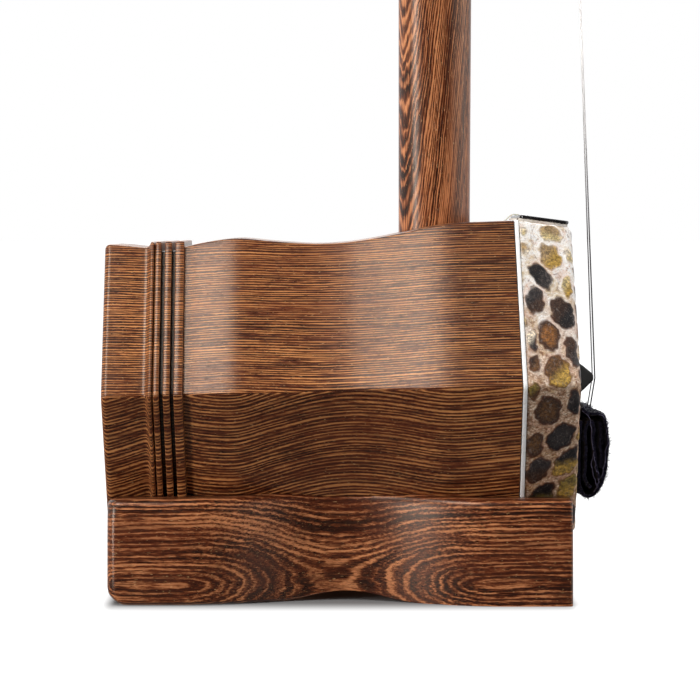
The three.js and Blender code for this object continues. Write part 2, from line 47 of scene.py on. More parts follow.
CAMERA_PLACE = (-34.7, -800.0, 103.6)
CAMERA_LENS = 142.1
CAMERA_SENSOR = 36.0
CAMERA_NEAREST = 10.0
CAMERA_SHIFT = (0.05, -0.1743)


def add_camera():
    data = bpy.data.cameras.new("camera")
    data.lens = CAMERA_LENS
    data.sensor_width = CAMERA_SENSOR
    data.shift_x, data.shift_y = CAMERA_SHIFT
    data.clip_start = CAMERA_NEAREST * MM
    camera = bpy.data.objects.new("camera", data)
    camera.location = Vector(CAMERA_PLACE) * MM
    camera.rotation_euler = (math.pi / 2, 0, 0)
    bpy.context.collection.objects.link(camera)
    bpy.context.scene.camera = camera


add_camera()

# ---- Sizes, as in the CAD ----

BOX_AXIS_HEIGHT = 59.97
BOX_TILT = 0.028
BOX_END_LEAN = 0.013
BOX_REAR = -93.2
CAVITY_APOTHEM = 35.5
SKIN_FRONT = 37.8
SKIN_REAR = 22.7
SKIN_THICKNESS = 0.8
SKIN_REAR_APOTHEM = 45.0
SKIN_FRONT_APOTHEM = 42.9
SKIN_CORNER = 2.0
BINDING_APOTHEM = 45.2
RING_APOTHEM = 42.0
RIM_APOTHEM = 41.6
NECK_BACK = -10.5
NECK_FRONT_LOW = 10.1
NECK_FRONT_HIGH = 10.6
NECK_WIDTH = 16.5

COS_30 = math.cos(math.pi / 6)
TAN_30 = math.tan(math.pi / 6)
BOX_TURN = np.array([
    [math.cos(BOX_TILT), 0, -BOX_END_LEAN],
    [0, 1, 0],
    [math.sin(BOX_TILT), 0, math.cos(BOX_TILT)],
])


def box_to_row(points):
    """Points in the soundbox's own leaning frame, moved to the row frame."""
    return points @ BOX_TURN.T + np.array([0, 0, BOX_AXIS_HEIGHT])


# ---- Mesh helpers ----

def add_mesh(name, points, faces, sharp_angle=40, attributes=None):
    """A mesh from points in millimetres. An attribute is one number, or one colour, for each point."""
    mesh = bpy.data.meshes.new(name)
    mesh.from_pydata((np.asarray(points) * MM).tolist(), [], faces)
    mesh.validate()
    for key, values in (attributes or {}).items():
        values = np.asarray(values, dtype=np.float32)
        if values.ndim == 1:
            layer = mesh.attributes.new(key, "FLOAT", "POINT")
            layer.data.foreach_set("value", values)
        else:
            layer = mesh.attributes.new(key, "FLOAT_COLOR", "POINT")
            layer.data.foreach_set("color", np.hstack([values, np.ones((len(values), 1))]).ravel())
    mesh.shade_smooth()
    mesh.set_sharp_from_angle(angle=math.radians(sharp_angle))
    piece = bpy.data.objects.new(name, mesh)
    bpy.context.collection.objects.link(piece)
    return piece


def ring_faces(count, sides, caps=True, start=0):
    """Faces for a row of closed rings, each with the same number of points."""
    faces = []
    for r in range(count - 1):
        for s in range(sides):
            a = start + r * sides + s
            b = start + r * sides + (s + 1) % sides
            faces.append((a, b, b + sides, a + sides))
    if caps:
        faces.append(tuple(start + s for s in reversed(range(sides))))
        faces.append(tuple(start + (count - 1) * sides + s for s in range(sides)))
    return faces


def add_loft(name, rings, sharp_angle=40, attributes=None):
    """A closed mesh through a row of rings."""
    rings = np.asarray(rings)
    piece = add_mesh(name, rings.reshape(-1, 3), ring_faces(*rings.shape[:2]), sharp_angle, attributes)
    face_outward(piece)
    return piece


def face_outward(piece, join_within=0.0):
    """Turns the faces outward, and first joins points that lie within the given distance."""
    shape = bmesh.new()
    shape.from_mesh(piece.data)
    if join_within:
        bmesh.ops.remove_doubles(shape, verts=shape.verts, dist=join_within * MM)
    bmesh.ops.recalc_face_normals(shape, faces=shape.faces)
    shape.to_mesh(piece.data)
    shape.free()


def whole_turn(sides):
    return np.linspace(0, 2 * math.pi, sides, endpoint=False)


def arc(centre, radius, start, end, steps):
    """Points [x, y] on a circle, from start to end in degrees."""
    turns = np.radians(np.linspace(start, end, steps))
    return [[centre[0] + radius * math.cos(t), centre[1] + radius * math.sin(t)] for t in turns]


def circle(radius, sides, centre=(0.0, 0.0)):
    """Points [x, y] all the way round a circle."""
    return arc(centre, radius, 0, 360, sides + 1)[:-1]


def round_corners(x, y, radius, steps):
    """A rectangle with round corners, as points [x, y]. The corners' centres are at x and y either way."""
    points = []
    for quarter, (right, top) in enumerate(((1, 1), (-1, 1), (-1, -1), (1, -1))):
        points += arc((x * right, y * top), radius, 90 * quarter, 90 * quarter + 90, steps)
    return points


def spline(points, steps):
    """A smooth line through [x, y] points (Catmull-Rom), as an array."""
    points = np.asarray(points, dtype=float)
    ends = np.vstack([2 * points[0] - points[1], points, 2 * points[-1] - points[-2]])
    line = []
    for i in range(len(points) - 1):
        a, b, c, d = ends[i:i + 4]
        for t in np.linspace(0, 1, steps, endpoint=False):
            line.append(0.5 * (2 * b + (c - a) * t + (2 * a - 5 * b + 4 * c - d) * t ** 2
                               + (3 * b - a - 3 * c + d) * t ** 3))
    line.append(points[-1])
    return np.array(line)


def resampled(line, count):
    """The same open line with count points, evenly spaced."""
    line = np.asarray(line, dtype=float)
    steps = np.linalg.norm(np.diff(line, axis=0), axis=1)
    along = np.concatenate([[0], np.cumsum(steps)])
    at = np.linspace(0, along[-1], count)
    return np.stack([np.interp(at, along, line[:, k]) for k in range(line.shape[1])], axis=1)


def line_length(line):
    return float(np.linalg.norm(np.diff(line, axis=0), axis=1).sum())


def sweep(points, radius, sides=10, lobes=0, lobe_depth=0.0, twist=0.0):
    """Rings round a line in space. radius is one number or one for each point; lobes make a twisted cord."""
    points = np.asarray(points, dtype=float)
    radii = np.broadcast_to(np.asarray(radius, dtype=float), len(points))
    tangents = np.gradient(points, axis=0)
    tangents /= np.linalg.norm(tangents, axis=1)[:, None]
    side = np.cross(tangents[0], [0.31, 0.12, 0.94])
    along = 0.0
    rings = []
    for i, (point, tangent) in enumerate(zip(points, tangents)):
        if i:
            along += np.linalg.norm(point - points[i - 1])
        side = side - tangent * side.dot(tangent)
        side /= np.linalg.norm(side)
        up = np.cross(tangent, side)
        turns = whole_turn(sides)
        reach = radii[i] * (1 + lobe_depth * np.cos(lobes * turns + twist * along))
        rings.append(point + np.outer(reach * np.cos(turns), side) + np.outer(reach * np.sin(turns), up))
    return np.array(rings)


def ease(value, low, high):
    """0 below low, 1 above high, and a smooth step between."""
    t = np.clip((np.asarray(value, dtype=float) - low) / (high - low), 0, 1)
    return t * t * (3 - 2 * t)


def swell(t):
    """A smooth rise from 0 to 1 and back, for |t| up to 1."""
    return np.where(np.abs(t) < 1, np.cos(np.pi * np.clip(t, -1, 1) / 2) ** 2, 0)


# ---- Material helpers ----

MIX_FACTOR, MIX_A, MIX_B, MIX_RESULT = 0, 6, 7, 2    # where a Mix node keeps its colour sockets


class Graph:
    """The node tree of a material or a world, with one short call for each kind of node."""

    def __init__(self, owner):
        owner.use_nodes = True
        self.tree = owner.node_tree

    def node(self, kind, inputs=None, **settings):
        made = self.tree.nodes.new("ShaderNode" + kind)
        for key, value in settings.items():
            setattr(made, key, value)
        for key, value in (inputs or {}).items():
            self.feed(made.inputs[key], value)
        return made

    def feed(self, socket, value):
        if isinstance(value, bpy.types.NodeSocket):
            self.tree.links.new(value, socket)
        elif value is not None:
            socket.default_value = value

    def math(self, operation, a, b=0.0, c=0.0):
        return self.node("Math", {0: a, 1: b, 2: c}, operation=operation).outputs[0]

    def times(self, a, b):
        return self.math("MULTIPLY", a, b)

    def shifted(self, value, noise, amount):
        """The value, moved either way as the noise strays from its middle."""
        return self.math("MULTIPLY_ADD", self.math("SUBTRACT", noise, 0.5), amount, value)

    def hypot(self, a, b):
        return self.math("SQRT", self.math("ADD", self.times(a, a), self.times(b, b)))

    def scaled(self, vector, factors):
        return self.node("VectorMath", {0: vector, 1: factors}, operation="MULTIPLY").outputs[0]

    def place(self):
        """Object coordinates, in millimetres."""
        return self.scaled(self.node("TexCoord").outputs["Object"], (1 / MM, 1 / MM, 1 / MM))

    def dot(self, vector, direction):
        made = self.node("VectorMath", {0: vector, 1: direction}, operation="DOT_PRODUCT")
        return made.outputs["Value"]

    def vector(self, x=0.0, y=0.0, z=0.0):
        return self.node("CombineXYZ", {0: x, 1: y, 2: z}).outputs[0]

    def noise(self, vector, scale=1.0, detail=2.0, roughness=0.5, distortion=0.0, seed=0.0):
        """Noise from 0 to 1. The seed moves it in space, by a different step along each axis."""
        moved = self.node("VectorMath", {0: vector, 1: (seed, seed * 1.7, seed * 2.3)}, operation="ADD")
        made = self.node("TexNoise", {
            "Vector": moved.outputs[0], "Scale": scale, "Detail": detail,
            "Roughness": roughness, "Distortion": distortion,
        })
        return made.outputs["Fac"]

    def ramp(self, value, *stops):
        made = self.node("ValToRGB", {0: value})
        elements = made.color_ramp.elements
        while len(elements) < len(stops):
            elements.new(0.5)
        for element, (position, color) in zip(elements, stops):
            element.position = position
            element.color = (*color, 1)
        return made.outputs["Color"]

    def span(self, value, low, high, to_low=0.0, to_high=1.0, smooth=False):
        """The value's range from low to high, mapped to another range and held there beyond it."""
        made = self.node("MapRange", {
            "Value": value, "From Min": low, "From Max": high, "To Min": to_low, "To Max": to_high,
        }, interpolation_type="SMOOTHSTEP" if smooth else "LINEAR", clamp=True)
        return made.outputs[0]

    def mix(self, factor, a, b, blend="MIX"):
        inputs = {MIX_FACTOR: factor, MIX_A: color4(a), MIX_B: color4(b)}
        return self.node("Mix", inputs, data_type="RGBA", blend_type=blend).outputs[MIX_RESULT]

    def attribute(self, name, output="Fac"):
        return self.node("Attribute", attribute_name=name).outputs[output]

    def bump(self, height, distance, strength=1.0):
        made = self.node("Bump", {"Height": height, "Distance": distance * MM, "Strength": strength})
        return made.outputs[0]


class Surface(Graph):
    """A material, from its first node to its shader."""

    def __init__(self, name):
        self.material = bpy.data.materials.new(name)
        super().__init__(self.material)

    def finish(self, color, roughness, normal=None, **more):
        """Feeds the shader and gives the material. An input's name has _ for each space."""
        inputs = self.tree.nodes["Principled BSDF"].inputs
        more.update(Base_Color=color4(color), Roughness=roughness, Normal=normal)
        for key, value in more.items():
            self.feed(inputs[key.replace("_", " ")], value)
        return self.material


def color4(value):
    return (*value, 1.0) if isinstance(value, tuple) and len(value) == 3 else value


def srgb(red, green, blue):
    """A colour given as 0 to 255, as the linear value that nodes take."""
    channels = [c / 255 for c in (red, green, blue)]
    return tuple(c / 12.92 if c <= 0.04045 else ((c + 0.055) / 1.055) ** 2.4 for c in channels)


def tinted(color, factors):
    return tuple(c * k for c, k in zip(color, factors))


# ---- Striped hardwood ----

WOOD_DARK = srgb(36, 14, 8)
WOOD_MIDDLE = srgb(113, 57, 31)
WOOD_LIGHT = srgb(212, 142, 84)
WOOD_RED_LIGHT = srgb(212, 138, 90)


@dataclass
class Timber:
    """How a piece was cut: where its light and dark layers lie, and how they run."""

    along: tuple            # the direction of the grain
    layers: tuple = None    # the direction across flat layers
    pith: tuple = None      # or the Y and Z of the middle of growth rings along X, and their stretch in Y
    period: float = 0.85    # from one stripe to the next
    seed: float = 0.0
    wander: float = 0.5     # how far the layers stray over a long and a middling stretch
    ripple: float = 0.25    # and over a short one
    break_up: float = 0.5   # how much streaks along the grain break the stripes
    shred: float = 0.3      # how much shorter flecks break them
    stripes: float = 0.62   # how strong the stripes are
    bands: float = 0.35     # how strong the broad bands of several stripes are
    width: float = 0.5      # how much of the wood is light
    light: float = 1.0      # how bright it is
    # painted shade: how much darker the wood is made from X = 0 to the front, where less light falls on it
    painted_front_shade: float = 0.0       # how much darker it is from X = 0 to the front
    bright: tuple = WOOD_LIGHT


def layer_depth(g, timber, place):
    """How deep a point lies in the layers: flat layers, or growth rings round a pith along X."""
    if timber.pith is None:
        return g.dot(place, Vector(timber.layers))
    y, z, stretch = timber.pith
    across = g.times(g.math("SUBTRACT", g.dot(place, (0, 1, 0)), y), stretch)
    up = g.math("SUBTRACT", g.dot(place, (0, 0, 1)), z)
    return g.hypot(across, up)


def grain_frame(g, along, place):
    """The place seen along the grain, and across it two ways."""
    second = Vector((0, 1, 0)) if abs(along.y) < 0.9 else Vector((1, 0, 0))
    side = along.cross(second).normalized()
    other = along.cross(side).normalized()
    return g.vector(g.dot(place, along), g.dot(place, side), g.dot(place, other))


def wood(name, timber):
    """Striped hardwood: dark and light layers, pores, painted shade in the ring's grooves (the "recess"
    attribute), and, for some boards, painted shade towards the front.
    """
    g = Surface(name)
    place = g.place()
    grain = grain_frame(g, Vector(timber.along).normalized(), place)
    seed = timber.seed

    def noise(lengthwise, across, offset, **settings):
        return g.noise(g.scaled(grain, (lengthwise, across, across)), seed=seed + offset, **settings)

    depth = layer_depth(g, timber, place)
    depth = g.shifted(depth, noise(0.014, 0.06, 3, detail=1.0), 8.0 * timber.wander)
    depth = g.shifted(depth, noise(0.05, 0.35, 7), 3.0 * timber.wander)
    depth = g.shifted(depth, noise(0.28, 1.9, 11, detail=3.0, roughness=0.6), timber.ripple * 2)

    count = g.math("DIVIDE", depth, timber.period)
    spread = g.noise(g.vector(g.times(count, 0.31), 0.0, seed + 0.5))
    count = g.shifted(count, spread, 2.2)
    wave = g.math("MULTIPLY_ADD", g.math("SINE", g.times(count, 2 * math.pi)), 0.5, 0.5)
    fade = g.noise(g.vector(g.dot(grain, (0.09, 0, 0)), count, seed), detail=1.0)
    line = g.times(g.math("POWER", wave, 1.5), g.span(fade, 0.3, 0.6, 0.35, 1.0))
    level = g.math("MULTIPLY_ADD", line, timber.stripes, timber.width - 0.41 * timber.stripes)
    finer = g.math("SINE", g.math("MULTIPLY_ADD", count, 2 * math.pi * 2.3, seed))
    finer = g.times(finer, g.span(noise(0.05, 0.35, 15), 0.4, 0.6))
    level = g.math("MULTIPLY_ADD", finer, 0.08, level)
    uneven = g.noise(g.vector(g.times(count, 0.6), 0.0, seed), detail=3.0, roughness=0.75)
    level = g.shifted(level, uneven, 0.75)
    broad = g.vector(g.times(count, 0.14), g.dot(grain, (0.01, 0, 0)), seed + 2)
    level = g.shifted(level, g.noise(broad, detail=1.0), timber.bands)
    streak = noise(0.13, 2.7, 19, detail=4.0, roughness=0.66)
    level = g.shifted(level, streak, timber.break_up * 2.0)
    level = g.shifted(level, noise(0.45, 2.2, 5, detail=3.0, roughness=0.6, distortion=0.4), timber.shred)
    color = g.ramp(level, (0.2, WOOD_DARK), (0.46, WOOD_MIDDLE), (0.76, timber.bright))

    color = g.mix(g.span(noise(0.02, 0.15, 23), 0.42, 0.68, 0.0, 0.4), color, srgb(96, 40, 20))
    color = g.mix(g.span(noise(0.04, 0.7, 27), 0.5, 0.72, 0.0, 0.4), color, srgb(64, 40, 27))
    pore = g.span(noise(0.3, 4.6, 31, detail=1.0), 0.665, 0.705)
    color = g.mix(g.times(pore, 0.8), color, srgb(20, 9, 6))
    fleck = g.span(noise(0.8, 4.4, 41, detail=1.0), 0.7, 0.76)
    color = g.mix(g.times(fleck, 0.5), color, srgb(236, 188, 132))
    # painted shade: the brightness eases down from X = -3 to X = 6 and stays lower towards the front
    painted_front_shade = timber.light * (1 - timber.painted_front_shade)
    light = g.span(g.dot(place, (1, 0, 0)), -3.0, 6.0, timber.light, painted_front_shade, smooth=True)
    shade = g.node("HueSaturation", {"Value": light, "Color": color}).outputs[0]
    # painted shade: the ring's deep grooves are darkened nearly to black, where shadow falls in them
    shade = g.mix(g.times(g.attribute("recess"), 0.85), shade, srgb(14, 6, 4))

    height = g.math("MULTIPLY_ADD", level, 0.4, g.times(pore, -1.0))
    return g.finish(shade, g.shifted(0.29, streak, 0.12), g.bump(height, 0.025, 0.7),
                    Specular_IOR_Level=0.42, Specular_Tint=(1.0, 0.84, 0.7, 1.0))


def plain_wood(name, dark, light, along, seed, polish=0.45):
    """Close-grained wood, such as ebony, with fine pores and a low polish."""
    g = Surface(name)
    stretch = tuple(0.25 if abs(a) > 0.5 else 4.0 for a in along)
    grain = g.noise(g.scaled(g.place(), stretch), detail=4.0, roughness=0.65, seed=seed)
    color = g.ramp(grain, (0.35, dark), (0.7, light))
    roughness = g.span(grain, 0.3, 0.7, 0.3, 0.48)
    return g.finish(color, roughness, g.bump(grain, 0.03, 0.5), Specular_IOR_Level=polish)


def speckled(name, colors, at, roughness, bump, noise, stretch=(1.0, 1.0, 1.0), **more):
    """A simple surface with one noise, for its two colours, its roughness and its bumps.

    at is where the noise turns one colour into the other. Roughness is one number or a pair, from and
    to, and bump is a height and a strength."""
    g = Surface(name)
    specks = g.noise(g.scaled(g.place(), stretch), **noise)
    color = g.mix(g.span(specks, *at), *colors)
    if isinstance(roughness, tuple):
        roughness = g.span(specks, 0.3, 0.7, *roughness)
    return g.finish(color, roughness, g.bump(specks, *bump), **more)


def steel(name, color, roughness, brush=(1.0, 1.0, 6.0), seed=1.0):
    """Steel with fine scratches, drawn out along the axes where brush is small."""
    colors = tinted(color, (0.72, 0.72, 0.72)), color
    noise = {"detail": 3.0, "roughness": 0.6, "seed": seed}
    rough = (roughness - 0.07, roughness + 0.1)
    return speckled(name, colors, (0.3, 0.7), rough, (0.008, 0.5), noise, brush, Metallic=1.0)


def bone(name, color, seed):
    """Bone or ivory-coloured plastic, with faint growth lines."""
    g = Surface(name)
    place = g.place()
    lines = g.noise(g.scaled(place, (0.5, 2.2, 2.2)), detail=4.0, roughness=0.7, seed=seed)
    mottle = g.noise(place, scale=0.25, detail=2.0, seed=seed + 5)
    shade = g.mix(g.span(lines, 0.35, 0.7), color, tinted(color, (0.86, 0.8, 0.66)))
    shade = g.mix(g.span(mottle, 0.45, 0.7, 0.0, 0.3), shade, srgb(222, 205, 165))
    return g.finish(shade, g.span(lines, 0.3, 0.7, 0.22, 0.4), g.bump(lines, 0.02, 0.4),
                    Subsurface_Weight=0.08, Subsurface_Scale=0.001)


# ---- Putting a piece on the frame ----

def finish_piece(piece, material, body, slot, *nodes):
    """Gives the piece its look, and says what it rides on and which CAD parts it stands for."""
    piece.data.materials.append(material)
    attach(piece, body)
    if nodes:
        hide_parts(*nodes)


def dress_node(name, material, bevel=0.0):
    """A CAD part that keeps its own shape, with softened edges and a fine material."""
    piece = bpy.data.objects[name]
    piece.data.materials.clear()
    piece.data.materials.append(material)
    if bevel:
        rounding = piece.modifiers.new("edges", "BEVEL")
        rounding.width = bevel * MM
        rounding.segments = 2
        rounding.limit_method = "ANGLE"
        rounding.angle_limit = math.radians(35)
        rounding.harden_normals = True


def apply_modifiers(piece):
    """Makes the modifiers' result the piece's own mesh."""
    depsgraph = bpy.context.evaluated_depsgraph_get()
    made = bpy.data.meshes.new_from_object(piece.evaluated_get(depsgraph))
    piece.modifiers.clear()
    piece.data = made


def carve(piece, *cutters):
    """Cuts each cutter out of the piece, and removes the cutter."""
    for cutter in cutters:
        cut = piece.modifiers.new("cut", "BOOLEAN")
        cut.operation = "DIFFERENCE"
        cut.solver = "EXACT"
        cut.object = cutter
        apply_modifiers(piece)
        bpy.data.objects.remove(cutter)


# ---- Soundbox boards ----

def rim_profile():
    """The rounded rear rim and the slope up to the ring."""
    corner = arc((BOX_REAR + 1.5, RIM_APOTHEM - 1.5), 1.5, 180, 90, 9)
    slope = spline([[BOX_REAR + 1.5, RIM_APOTHEM], [-88, RIM_APOTHEM - 0.35], [-83.5, RIM_APOTHEM - 0.95],
                    [-82.0, RIM_APOTHEM - 1.1]], 8)
    return corner + slope[1:].tolist()


RIDGES = [(-78.85, -77.3), (-76.2, -74.35), (-73.3, -70.85)]
GROOVE_DEPTH = 2.7


def ring_profile():
    """A cove, a round bead, then three flat ridges with two deep narrow grooves between them."""
    floor = RING_APOTHEM - GROOVE_DEPTH
    cove = arc((-81.6, RIM_APOTHEM - 0.1), 1.0, 270, 340, 6)
    bead = arc((-79.85, RING_APOTHEM - 0.55), 0.55, 175, 10, 9)
    points = cove[1:] + bead + [[-79.12, RING_APOTHEM - 1.0]]
    edge = 0.28
    for i, (rear, front) in enumerate(RIDGES):
        points += arc((rear + edge, RING_APOTHEM - edge), edge, 180, 95, 4)
        points += [[(rear + front) / 2, RING_APOTHEM + 0.06]]
        points += arc((front - edge, RING_APOTHEM - edge), edge, 85, 0, 4)
        if i < len(RIDGES) - 1:
            next_rear = RIDGES[i + 1][0]
            points += [[front + 0.03, floor + 0.15], [front + 0.15, floor],
                       [next_rear - 0.15, floor], [next_rear - 0.03, floor + 0.15]]
    return points


def wave_profile():
    """A step down from the ridges, then the shallow wave up to the binding."""
    step = [[-70.8, 40.7], [-70.65, 40.4]]
    wave = spline([[-70.5, 40.4], [-65, 41.5], [-56, 42.4], [-46, 41.3], [-35, 40.3], [-26, 40.35],
                   [-18, 41.2], [-10, 42.55], [-3, 43.95], [3, 44.75], [10, 45.05], [21.5, 45.2]], 9)
    return step + wave.tolist()


def seat_profile():
    """The wood under the binding and the skin."""
    under = SKIN_THICKNESS + 0.05
    return [[21.6, 44.9], [21.65, SKIN_REAR_APOTHEM - under],
            [SKIN_FRONT - SKIN_CORNER, SKIN_FRONT_APOTHEM + 0.2 - under],
            [SKIN_FRONT - under, SKIN_FRONT_APOTHEM - SKIN_CORNER - 0.2]]


BOARD_PROFILE = np.array(rim_profile() + ring_profile() + wave_profile() + seat_profile())


def facet_axes(i):
    """The outward and sideways directions of face i, in the soundbox's frame."""
    turn = math.radians(30 + 60 * i)
    normal = np.array([0, math.cos(turn), math.sin(turn)])
    across = np.array([0, -math.sin(turn), math.cos(turn)])
    return normal, across


def board_rings(i, edge=1.0, across_steps=14):
    """Rings across one mitred board; the arris between two boards is rounded by edge."""
    normal, across = facet_axes(i)
    joint = 0.015
    inner_half = CAVITY_APOTHEM * TAN_30
    rounding = np.radians(np.linspace(30, 0, 5))
    rings = []
    for x, apothem in BOARD_PROFILE:
        flat = (apothem - edge) * TAN_30
        turned_edge = [(flat + edge * math.sin(t), apothem - edge * (1 - math.cos(t))) for t in rounding]
        outline = turned_edge + [(t, apothem) for t in np.linspace(flat, -flat, across_steps)[1:-1]]
        outline += [(-t, n) for t, n in turned_edge[::-1]]
        outline += [(-inner_half, CAVITY_APOTHEM), (inner_half, CAVITY_APOTHEM)]
        rings.append([np.array([x, 0, 0]) + normal * n + across * (t - math.copysign(joint, t))
                      for t, n in outline])
    return np.array(rings)


def groove_shade_mask(rings):
    """1 for points down in the ring's grooves, which are painted dark as shade, and 0 elsewhere."""
    deep = [float(-80 < x < -70.7 and apothem < RING_APOTHEM - 0.9) for x, apothem in BOARD_PROFILE]
    return np.repeat(deep, rings.shape[1])


# For each board: how far the layers lean from lying square across the face, their slope
# along the box, the spacing of the stripes on the face, and what else sets its wood apart.
BOARD_CUTS = {
    "far_upper": (0.3, 0.02, 1.0, {}),
    "top": (-0.4, 0.02, 0.9, {}),
    # near_upper: painted shade darkens its wood from X = 0 to the front, where less light falls
    "near_upper": (-0.2, 0.0, 0.76, {"painted_front_shade": 0.22}),
    # painted light: the wood of this downward face is made brighter (light 1.12), standing in for the light
    # it gets from below
    "near_lower": (-1.08, 0.124, 1.12, {"light": 1.12, "stripes": 0.58, "ripple": 0.14}),
    "bottom": (0.3, 0.02, 1.1, {}),
    "far_lower": (0.9, -0.05, 1.3, {}),
}
BOARD_WOOD = {"wander": 0.2, "ripple": 0.09, "break_up": 0.45, "shred": 0.2, "stripes": 0.74}


def add_boards():
    """The six mitred boards of the soundbox, each cut from its own piece of timber."""
    along = BOX_TURN @ np.array([1, 0, 0])
    for i, (name, (lean, slope, period, special)) in enumerate(BOARD_CUTS.items()):
        normal, across = facet_axes(i)
        rings = board_rings(i)
        board = add_loft(f"{name}_board", on_row(rings), 50, {"recess": groove_shade_mask(rings)})
        layers = BOX_TURN @ (across + normal * lean + np.array([slope, 0, 0]))
        timber = Timber(along, layers, period=period, seed=2.0 + 5 * i, **{**BOARD_WOOD, **special})
        if name in ("top", "bottom"):
            carve(board, neck_cutter())
        finish_piece(board, wood(f"{name}_board_wood", timber),
                     "frame", "box_wood", f"soundbox_{name}_board")


def on_row(rings):
    """Rings in the soundbox's frame, moved to the row frame."""
    rings = np.asarray(rings)
    return box_to_row(rings.reshape(-1, 3)).reshape(rings.shape)


def oval(back, front, width, z, sides=64):
    """A ring in the XY plane, flattened round between two X limits."""
    turns = whole_turn(sides)
    x = (back + front) / 2 + (front - back) / 2 * np.cos(turns)
    return np.stack([x, width / 2 * np.sin(turns), np.full(sides, z)], axis=1)


def neck_cutter():
    """The neck's section with a little clearance, to cut its hole through a board."""
    rings = [oval(NECK_BACK - 0.08, NECK_FRONT_LOW + 0.12, NECK_WIDTH + 0.16, z) for z in (5, 125)]
    return add_loft("neck_cutter", rings)


# ---- Python skin: a face and a belt, covered with scales ----

BELT_FACE = 50.8
SKIN_FLAT_STEPS = 132
SKIN_CORNER_STEPS = 6

BLACK = srgb(20, 19, 24)
CHARCOAL = srgb(52, 48, 50)
UMBER = srgb(62, 42, 32)
BROWN = srgb(102, 70, 42)
ORANGE = srgb(144, 94, 48)
OLIVE = srgb(136, 116, 58)
YELLOW = srgb(182, 148, 72)
STRAW = srgb(198, 180, 134)
TAN = srgb(164, 138, 100)
CREAM = srgb(226, 214, 196)

# Scales on the two near faces of the belt. Each has its place down its face and back from
# the front edge, its half sizes in those directions, its lean in degrees, the colours of its
# two ends, and how they meet: end to end, or round a rim.
UPPER_SCALES = [
    (2.9, 6.1, 2.9, 3.3, -25, TAN, STRAW, "end"),
    (10.2, 6.5, 4.2, 3.0, 20, TAN, YELLOW, "end"),
    (9.0, 13.6, 2.2, 1.5, 0, TAN, CREAM, "end"),
    (8.8, 1.0, 3.0, 1.8, 0, CREAM, STRAW, "end"),
    (17.0, 9.6, 4.5, 2.6, 33, BLACK, CHARCOAL, "end"),
    (19.6, 2.2, 3.7, 1.5, 0, STRAW, YELLOW, "end"),
    (24.6, 11.6, 4.4, 2.6, -5, CHARCOAL, UMBER, "end"),
    (28.2, 4.0, 5.2, 3.2, 22, UMBER, BLACK, "end"),
    (35.4, 8.3, 4.6, 3.0, 8, ORANGE, UMBER, "rim"),
    (36.9, 13.0, 3.4, 1.6, 0, CREAM, CHARCOAL, "end"),
    (40.6, 1.8, 4.9, 2.0, 12, UMBER, CHARCOAL, "end"),
    (43.8, 12.8, 2.6, 1.8, 0, UMBER, BROWN, "end"),
    (46.5, 6.4, 4.9, 3.5, 10, BROWN, YELLOW, "end"),
]
LOWER_SCALES = [
    (1.7, 13.2, 3.2, 1.6, 0, OLIVE, BROWN, "end"),
    (5.8, 1.6, 4.4, 2.1, 0, CHARCOAL, BLACK, "end"),
    (8.0, 9.1, 4.7, 3.6, 0, BROWN, UMBER, "rim"),
    (17.0, 5.2, 4.8, 3.5, -38, CHARCOAL, BLACK, "rim"),
    (18.9, 12.5, 3.9, 2.6, -12, BROWN, UMBER, "rim"),
    (27.4, 11.3, 4.3, 3.2, -30, CHARCOAL, UMBER, "end"),
    (25.6, 2.9, 5.4, 3.3, -38, BLACK, YELLOW, "end"),
    (36.0, 10.0, 4.6, 3.2, -35, BLACK, OLIVE, "end"),
    (33.9, 2.2, 4.4, 3.3, -35, OLIVE, YELLOW, "end"),
    (44.6, 1.2, 3.6, 2.8, 0, BLACK, CHARCOAL, "rim"),
    (43.0, 8.0, 3.8, 3.4, 0, OLIVE, BROWN, "end"),
]
NEAR_FACES = {2: UPPER_SCALES, 3: LOWER_SCALES}

SCALE_ROUNDNESS = 2.2    # 2 would be an ellipse, and more is nearer a rectangle
SCALE_REACH = 11         # no scale matters further away than this
FAR_OUTSIDE = 9.0        # how many half sizes away a point is taken to be, before any scale is near


class Scales:
    """Scales on a plane: places, half sizes, leans and the two colours of each."""

    def __init__(self, rows):
        self.place = np.array([[t, d] for t, d, *_ in rows])
        self.half = np.array([row[2:4] for row in rows])
        self.lean = np.radians([row[4] for row in rows])
        self.first = np.array([row[5] for row in rows])
        self.second = np.array([row[6] for row in rows])
        self.rimmed = np.array([row[7] == "rim" for row in rows])

    def nearest(self, points, wrap=None):
        """How far inside its scale each point is, in mm, and that scale's colour there.

        A scale is oval, and stops short of the line where its neighbour is as near."""
        first = np.full(len(points), FAR_OUTSIDE)
        second = np.full(len(points), FAR_OUTSIDE)
        size = np.ones(len(points))
        color = np.ones((len(points), 3)) * np.array(CREAM)
        for i, (place, half, lean) in enumerate(zip(self.place, self.half, self.lean)):
            offset = points - place
            if wrap:
                offset[:, 0] = (offset[:, 0] + wrap / 2) % wrap - wrap / 2
            close = np.flatnonzero(np.abs(offset).max(axis=1) < SCALE_REACH)
            along = offset[close, 0] * math.cos(lean) - offset[close, 1] * math.sin(lean)
            aside = offset[close, 0] * math.sin(lean) + offset[close, 1] * math.cos(lean)
            powers = np.abs(along / half[0]) ** SCALE_ROUNDNESS + np.abs(aside / half[1]) ** SCALE_ROUNDNESS
            reach = powers ** (1 / SCALE_ROUNDNESS)
            better = reach < first[close]
            second[close] = np.where(better, first[close], np.minimum(second[close], reach))
            at = close[better]
            first[at] = reach[better]
            size[at] = half.mean()
            if self.rimmed[i]:
                blend = ease(reach[better], 0.45, 0.9)
            else:
                blend = ease(along[better] / half[0] - 0.5 * aside[better] / half[1], -0.35, 0.45)
            color[at] = self.first[i] + blend[:, None] * (self.second[i] - self.first[i])
        oval = (1.1 - first) * size
        shared = (second - first) * size * 0.62 - 0.3
        return np.minimum(oval, shared), color


